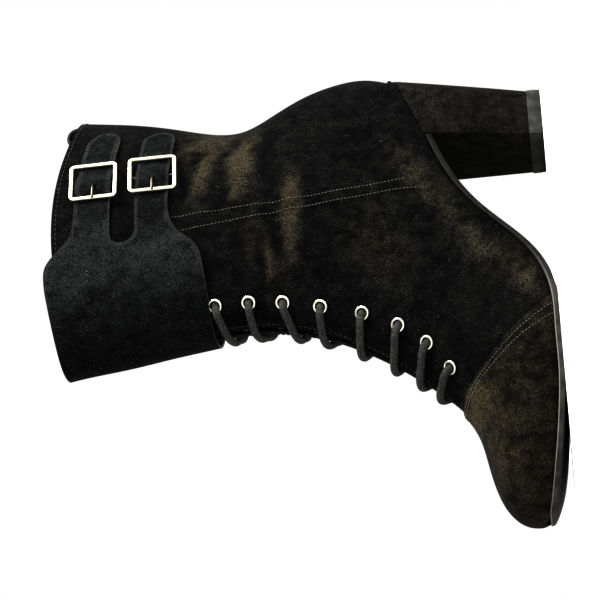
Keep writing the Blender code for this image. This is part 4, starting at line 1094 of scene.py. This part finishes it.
def stacked(name, rings, material, painted_light_share=None):
    """Closed solid through level rings, each end closed by a fan of shrinking rings."""
    size = len(rings[0])
    caps = []
    for ring in (rings[0], rings[-1]):
        middle = ring.mean(axis=0)
        caps.append([ring + (middle - ring) * share for share in (0.06, 0.35, 0.7)])
    rings = caps[0][::-1] + list(rings) + caps[1]
    faces = ring_faces(len(rings), size)
    faces.append(tuple(reversed(range(size))))
    faces.append(tuple((len(rings) - 1) * size + i for i in range(size)))
    marks = {"painted_light": np.full(len(rings) * size, painted_light_share)} if painted_light_share else None
    return faced_outward(piece(name, np.concatenate(rings), faces, [material], sharp=45, weld=0.0005,
                               marks=marks))


heel_rings = []
for share in np.linspace(0, 1, 26):
    rear, front, half = (low + (high - low) * share for low, high in zip(HEEL_BASE, HEEL_TOP))
    x, s = heel_ring(rear, front, half).T
    feather = plan(np.clip(s, HEEL_REAR + 0.02, None))[1]
    snug = np.clip(abs(x), None, feather + SNUG_MARGIN) - abs(x)
    x = x + np.sign(x) * snug * smooth((share - SNUG_FROM) / (1 - SNUG_FROM)) * (s < SNUG_BEFORE)
    base = TOP_LIFT + HEEL_ON_LIFT
    seat = feather_height(s) - HEEL_UNDER_FEATHER + RIM_RAISE * smooth((RIM_FROM - s) / RIM_LENGTH)
    heel_rings.append(np.stack([x, ORIGIN_S - s, base + (seat - base) * share], axis=-1))
heel = stacked("covered_heel", heel_rings, HEEL_SUEDE, painted_light_share=0.28)
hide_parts("heel")

lift_rings = []
for z, inset in ((0.0, 0.5), (0.15, 0.12), (0.6, 0.0),
                 (TOP_LIFT - 0.5, 0.0), (TOP_LIFT - 0.1, 0.12), (TOP_LIFT, 0.45)):
    out = LIFT_STANDS_OUT - inset
    x, s = heel_ring(HEEL_BASE[0] - out, HEEL_BASE[1] + out, HEEL_BASE[2] + out).T
    lift_rings.append(np.stack([x, ORIGIN_S - s, np.full(len(x), z)], axis=-1))
top_lift = stacked("rubber_top_lift", lift_rings, LIFT_RUBBER)
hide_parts("top_lift")


# Cuff. A wrapped piece of finer, cooler black suede, sewn at the inner side. Two straps with round
# ends are cut from it, with a slot between them, and pass through the buckles. It is laid out as a
# flat pattern: distance from the ridge, positive on the outer side, by height.
CUFF_THICKNESS = 1.4
CUFF_TOP, CUFF_BOTTOM = 252.0, 175.0
CUFF_INNER_LOW, CUFF_INNER_HIGH = -124.0, -150.0
STRAP_HALF, STRAP_ROOT = 8.0, 64.0
STRAPS = (
    {"name": "upper", "height": 228.4, "tip": 137.0, "buckle": 101.0, "tilt": 6.0},
    {"name": "lower", "height": 200.4, "tip": 131.0, "buckle": 98.0, "tilt": 5.0},
)
# Heights of its inner face above the upper where it is sewn, hangs free and is a strap, and the
# stretches over which one turns into the next
SEWN_LIFT, CUFF_LIFT, STRAP_LIFT = 0.9, 2.3, 1.6
FREE_AFTER, STRAP_FROM, STRAP_EASE, STRAP_END_FROM, STRAP_END_EASE = 60.0, 45.0, 25.0, 118.0, 10.0
STRAP_BUMP, BUMP_LENGTH, BUMP_HEIGHT = 1.6, 4.0, 16.0
PRONG_HOLE_AT, PRONG_HOLE_RADIUS = 1.95, 1.5
# The flat pattern is filled with points in offset rows at this pitch, clear of its edges
FILL_PITCH, FILL_CLEAR = 2.1, 1.1
COOL_SUEDE = suede("cool_black_suede", (0.0028, 0.0031, 0.0030), (0.0150, 0.0168, 0.0160),
                   (0.035, 0.038, 0.036), 0.5, uneven(0.80, 0.15, 400.0), 0.00035, gloss=0.08)
PALE_EDGE = finish("cuff_cut_edge", clouded((0.060, 0.064, 0.060), (0.160, 0.165, 0.150), 500.0), 0.85)


def cuff_lift(across, height):
    """Height of the cuff's inner face above the upper, raised over each buckle's centre bar."""
    lift = SEWN_LIFT + (CUFF_LIFT - SEWN_LIFT) * smooth((across - CUFF_INNER_LOW) / FREE_AFTER)
    lift = lift + (STRAP_LIFT - CUFF_LIFT) * smooth((across - STRAP_FROM) / STRAP_EASE)
    strap_end = np.clip((across - STRAP_END_FROM) / STRAP_END_EASE, 0, 1)
    lift = lift - (STRAP_LIFT - SEWN_LIFT) * strap_end
    for strap in STRAPS:
        near = np.exp(-((height - strap["height"]) / BUMP_HEIGHT) ** 8)
        lift = lift + near * STRAP_BUMP * np.exp(-((across - strap["buckle"]) / BUMP_LENGTH) ** 4)
    return lift


def arc(centre, radius, start, end, count):
    """Points of an arc in a flat pattern, angles in degrees."""
    angles = np.radians(np.linspace(start, end, count))
    return [(centre[0] + radius * math.cos(a), centre[1] + radius * math.sin(a)) for a in angles]


def run(first, last, spacing=2.0):
    """Evenly spaced points from one to just before another."""
    first, last = np.asarray(first, float), np.asarray(last, float)
    count = max(1, int(np.linalg.norm(last - first) / spacing))
    return [tuple(first + (last - first) * i / count) for i in range(count)]


def curve_through(points, count):
    """Smooth flat curve through a few points, without its last."""
    points = np.asarray(points, float)
    at = np.linspace(0, len(points) - 1, count + 1)[:-1]
    return list(zip(*(spline(range(len(points)), points[:, axis], at) for axis in range(2))))


def cuff_pattern():
    """Outline of the cuff with its two straps and the slot between them."""
    upper_strap, lower_strap = STRAPS
    outline = run((CUFF_INNER_LOW, CUFF_BOTTOM), (28.0, CUFF_BOTTOM))
    low_edge = lower_strap["height"] - STRAP_HALF
    outline += curve_through([(28.0, CUFF_BOTTOM), (42.0, 176.0), (51.0, 177.2), (57.0, 180.6),
                              (61.5, 185.2), (66.0, 188.8), (72.0, 191.2), (79.0, low_edge)], 36)
    outline += run((79.0, low_edge), (lower_strap["tip"] - STRAP_HALF, low_edge))
    outline += arc((lower_strap["tip"] - STRAP_HALF, lower_strap["height"]), STRAP_HALF, -90, 90, 18)[:-1]
    slot_low, slot_high = lower_strap["height"] + STRAP_HALF, upper_strap["height"] - STRAP_HALF
    slot_radius = (slot_high - slot_low) / 2
    slot_end = STRAP_ROOT + slot_radius
    outline += run((lower_strap["tip"] - STRAP_HALF, slot_low), (slot_end, slot_low))
    outline += arc((slot_end, (slot_low + slot_high) / 2), slot_radius, -90, -270, 16)[:-1]
    outline += run((slot_end, slot_high), (upper_strap["tip"] - STRAP_HALF, slot_high))
    outline += arc((upper_strap["tip"] - STRAP_HALF, upper_strap["height"]), STRAP_HALF, -90, 90, 18)[:-1]
    high_edge = upper_strap["height"] + STRAP_HALF
    outline += run((upper_strap["tip"] - STRAP_HALF, high_edge), (83.0, high_edge))
    outline += curve_through([(83.0, high_edge), (76.0, 237.2), (71.0, 239.6), (67.0, 243.4),
                              (62.0, 248.4), (56.0, 251.2), (46.0, CUFF_TOP)], 30)
    outline += run((46.0, CUFF_TOP), (CUFF_INNER_HIGH, CUFF_TOP))
    outline += run((CUFF_INNER_HIGH, CUFF_TOP), (CUFF_INNER_LOW, CUFF_BOTTOM))
    return outline


def within(points, outline):
    """Which of many points lie inside a closed outline."""
    points, loop = np.asarray(points, float), np.asarray(outline, float)
    found = np.zeros(len(points), bool)
    for (x0, y0), (x1, y1) in zip(loop, np.roll(loop, -1, axis=0)):
        if y0 == y1:
            continue
        crosses = (y0 > points[:, 1]) != (y1 > points[:, 1])
        found ^= crosses & (points[:, 0] < x0 + (x1 - x0) * (points[:, 1] - y0) / (y1 - y0))
    return found


outline = cuff_pattern()
holes = [arc((strap["buckle"] - PRONG_HOLE_AT, strap["height"]), PRONG_HOLE_RADIUS, 0, 330, 12)
         for strap in STRAPS]
fill_across = np.arange(CUFF_INNER_HIGH, STRAPS[0]["tip"] + 1.0, FILL_PITCH)
fill_height = np.arange(CUFF_BOTTOM, CUFF_TOP, FILL_PITCH)
filling = np.stack([grid.ravel() for grid in np.meshgrid(fill_across, fill_height)], axis=-1)
filling[:, 0] += FILL_PITCH / 2 * (np.round((filling[:, 1] - CUFF_BOTTOM) / FILL_PITCH) % 2)
filling = filling[within(filling, outline)]
fence = np.array(outline + holes[0] + holes[1])
distance = np.min(np.linalg.norm(filling[:, None] - fence[None], axis=-1), axis=1)
filling = filling[distance > FILL_CLEAR]
flat = outline + holes[0] + holes[1] + [tuple(point) for point in filling]
loops, begin = [], 0
for loop in (outline, *holes):
    loops.append(list(range(begin, begin + len(loop))))
    begin += len(loop)
edges = [(loop[i], loop[(i + 1) % len(loop)]) for loop in loops for i in range(len(loop))]
cut = geometry.delaunay_2d_cdt([Vector(point) for point in flat], edges, [], 0, 1e-4)
places = np.array([tuple(point) for point in cut[0]])
middles = np.array([places[list(triangle)].mean(axis=0) for triangle in cut[2]])
kept = within(middles, outline) & ~within(middles, holes[0]) & ~within(middles, holes[1])
cuff_faces = [tuple(triangle) for triangle, keep in zip(cut[2], kept) if keep]
cuff_rows = row_at_height(places[:, 1])
cuff_around = around_at(cuff_rows, places[:, 0])
cuff_points = lifted(cuff_rows, cuff_around, cuff_lift(places[:, 0], places[:, 1]))
# The cuff's painted light: lighter where it turns to the side and on the straps, and a painted highlight
# along the cut edge
SIDE_AT, SIDE_HALF, STRAPS_PALE_FROM, EDGE_PALE_FROM = 58.0, 30.0, 85.0, 30.0
to_edge = np.min(np.linalg.norm(places[:, None] - np.array(outline)[None], axis=-1), axis=1)
cuff_painted_light = 0.02 + 0.60 * np.exp(-((places[:, 0] - SIDE_AT) / SIDE_HALF) ** 2)
cuff_painted_light += 0.30 * smooth((places[:, 0] - STRAPS_PALE_FROM) / 20.0)
cuff_painted_light += 1.6 * (to_edge < 0.5) * smooth((places[:, 0] - EDGE_PALE_FROM) / 30.0)
cuff = piece("strapped_cuff", cuff_points, cuff_faces, [COOL_SUEDE, LINING, PALE_EDGE],
             marks={"painted_light": cuff_painted_light}, weld=0.0001)
wall(cuff, CUFF_THICKNESS, 1, inner=0, rim=2, rounding=0.4)
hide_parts("cuff")


# Buckles. Cast rectangular frames, silver plated, with a centre bar under the strap and a prong
# through the strap's hole. Each hangs on a small leather chape sewn to the shaft.
FRAME_ACROSS, FRAME_ALONG, FRAME_BAR, FRAME_THICKNESS = 25.6, 22.2, 2.2, 1.8
FRAME_CENTRE_LIFT, FRAME_TOWARD_TIP = 4.2, 0.5
CENTRE_BAR_RADIUS, CENTRE_BAR_LIFT, CENTRE_BAR_BEND = 0.65, 2.25, 11.0
FRAME_CORNER, FRAME_SQUARENESS = 1.7, 0.6
PRONG_RADIUS = 0.6
# The prong in its buckle's own frame: up through the strap's hole and over to rest on the end bar
PRONG_ROUTE = ((0, -1.6, 2.3), (0, -1.8, 3.6), (0, -3.0, 5.3),
               (0, -5.6, 5.9), (0, -8.4, 5.9), (0, -10.6, 5.7))
CHAPE_THICKNESS, CHAPE_HALF = 1.0, 7.0
CHAPE_TOWARD_TIP, CHAPE_BACK = 14.0, 4.0
BUCKLE_SILVER = finish(
    "buckle_silver", clouded((0.70, 0.66, 0.54), (0.46, 0.42, 0.32), 140.0, 3.0, high=0.8),
    uneven(0.22, 0.2, 300.0, 3.0), Metallic=1.0)
# The prong and centre bar are coloured dark as painted shade, for the shadow they lie in under the frame
PRONG_PAINTED_SHADE = finish("prong_metal_painted_shade", (0.17, 0.16, 0.13), 0.4, Metallic=1.0)


def buckle_place(strap):
    """Frame of a buckle: local x across the strap, y toward its tip and z away from the boot."""
    row = float(row_at_height(strap["height"]))
    around = float(around_at(row, strap["buckle"]))
    centre, normal = lifted(row, around, 0.0), Vector(outward(row, around))
    ahead = Vector(lifted(row, float(around_at(row, strap["buckle"] + 5)), 0.0) - centre)
    along = (ahead - normal * ahead.dot(normal)).normalized()
    place = Matrix((along.cross(normal), along, normal)).transposed().to_4x4()
    place.translation = Vector(centre)
    return place @ Matrix.Rotation(math.radians(strap["tilt"]), 4, "Z")


def frame_bar(place):
    """Rounded rectangle of bar with a soft square section, as closed rings of points."""
    corner_x = (FRAME_ACROSS - FRAME_BAR) / 2 - FRAME_CORNER
    corner_y = (FRAME_ALONG - FRAME_BAR) / 2 - FRAME_CORNER
    path = []
    for turn, (sign_x, sign_y) in enumerate(((1, 1), (-1, 1), (-1, -1), (1, -1))):
        for angle in np.radians(np.linspace(90 * turn, 90 * turn + 90, 9)):
            c, s = math.cos(angle), math.sin(angle)
            x, y = sign_x * corner_x + FRAME_CORNER * c, sign_y * corner_y + FRAME_CORNER * s
            path.append((x, y, c, s))
    section = []
    for angle in np.linspace(0, 2 * math.pi, 16, endpoint=False):
        c, s = math.cos(angle), math.sin(angle)
        section.append((math.copysign(abs(c) ** FRAME_SQUARENESS, c) * FRAME_BAR / 2,
                        math.copysign(abs(s) ** FRAME_SQUARENESS, s) * FRAME_THICKNESS / 2))
    points = []
    for x, y, out_x, out_y in path:
        for out, up in section:
            local = Vector((x + out * out_x, y + out * out_y + FRAME_TOWARD_TIP, FRAME_CENTRE_LIFT + up))
            points.append(place @ local)
    return points, ring_faces(len(path), len(section), closed=True)


def centre_bar_route():
    """The centre bar in its buckle's own frame: it dips from the frame's sides to under the strap."""
    bend, high, low = CENTRE_BAR_BEND, FRAME_CENTRE_LIFT - 0.2, CENTRE_BAR_LIFT
    half = [(-bend - 0.2, 0, high), (-bend + 0.4, 0, low + 0.4), (-bend + 1.6, 0, low)]
    return half + [(0, 0, low)] + [(-x, y, z) for x, y, z in reversed(half)]


def place_route(place, route):
    """Route in a buckle's own frame, laid on the boot."""
    return np.array([place @ Vector(point) for point in rounded_route(route, 0.5)])


for strap in STRAPS:
    place = buckle_place(strap)
    name = strap["name"]
    points, faces = frame_bar(place)
    buckle = piece(f"{name}_buckle_frame", points, faces, [BUCKLE_SILVER], sharp=70, weld=0.0001)
    bar = tube(f"{name}_buckle_bar", place_route(place, centre_bar_route()), CENTRE_BAR_RADIUS,
               PRONG_PAINTED_SHADE, sides=10)
    prong = tube(f"{name}_buckle_prong", place_route(place, PRONG_ROUTE), PRONG_RADIUS, PRONG_PAINTED_SHADE,
                 sides=12)
    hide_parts(f"{name}_buckle")
    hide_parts(f"{name}_prong")

    rows = row_at_height(np.linspace(strap["height"] + CHAPE_HALF, strap["height"] - CHAPE_HALF, 15))
    distances = np.linspace(strap["buckle"] + CHAPE_TOWARD_TIP, strap["buckle"] - CHAPE_BACK, 19)
    around = around_at(rows[:, None], distances)
    chape_points = lifted(rows[:, None], around, GAP)
    chape = piece(f"{name}_buckle_chape", chape_points.reshape(-1, 3), grid_faces(*around.shape),
                  [COOL_SUEDE, COOL_SUEDE, PALE_EDGE], marks={"painted_light": np.full(around.size, 0.3)})
    wall(chape, CHAPE_THICKNESS, 1, rim=2, rounding=0.25)
    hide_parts(f"{name}_chape")


# Pull tab. A folded strip of the upper's suede inside the back of the collar. Its loop stands above
# the edge, and both ends are caught in the lining's seam.
TAB_HALF, TAB_THICKNESS, TAB_BOW = 7.0, 1.5, 17.0
tab_wall = WALL + GAP + TAB_THICKNESS
inside_back = [(float(column("back_s", row_at_height(z))) + tab_wall, z) for z in (224.0, 236.0, 246.0)]
collar_s = inside_back[-1][0]
# The strip's route by distance toward the toe and height: up the back, over in a loop and down again
tab_route = rounded_route([(s, z, 0.0) for s, z in (
    *inside_back, (collar_s - 0.4, 251.5), (collar_s + 2.2, 255.2), (collar_s + 7.0, 255.4),
    (collar_s + 10.2, 251.5), (collar_s + 9.0, 246.5), (collar_s + 4.9, 239.5),
    (inside_back[1][0] + 2.6, 232.0))], 1.2)
tab_xs = np.linspace(-TAB_HALF, TAB_HALF, 15)
tab_curve = tab_xs ** 2 / (2 * TAB_BOW)
tab_points = np.array([np.stack([tab_xs, ORIGIN_S - s - tab_curve, np.full(15, z)], axis=-1)
                       for s, z, _ in tab_route])
pull_tab = piece("folded_pull_tab", tab_points.reshape(-1, 3), grid_faces(*tab_points.shape[:2]),
                 [SUEDE, SUEDE, CUT_EDGE], marks={"painted_light": np.full(tab_points.shape[:2], 0.3)})
wall(pull_tab, TAB_THICKNESS, 0, rim=2, rounding=0.35)
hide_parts("pull_tab")
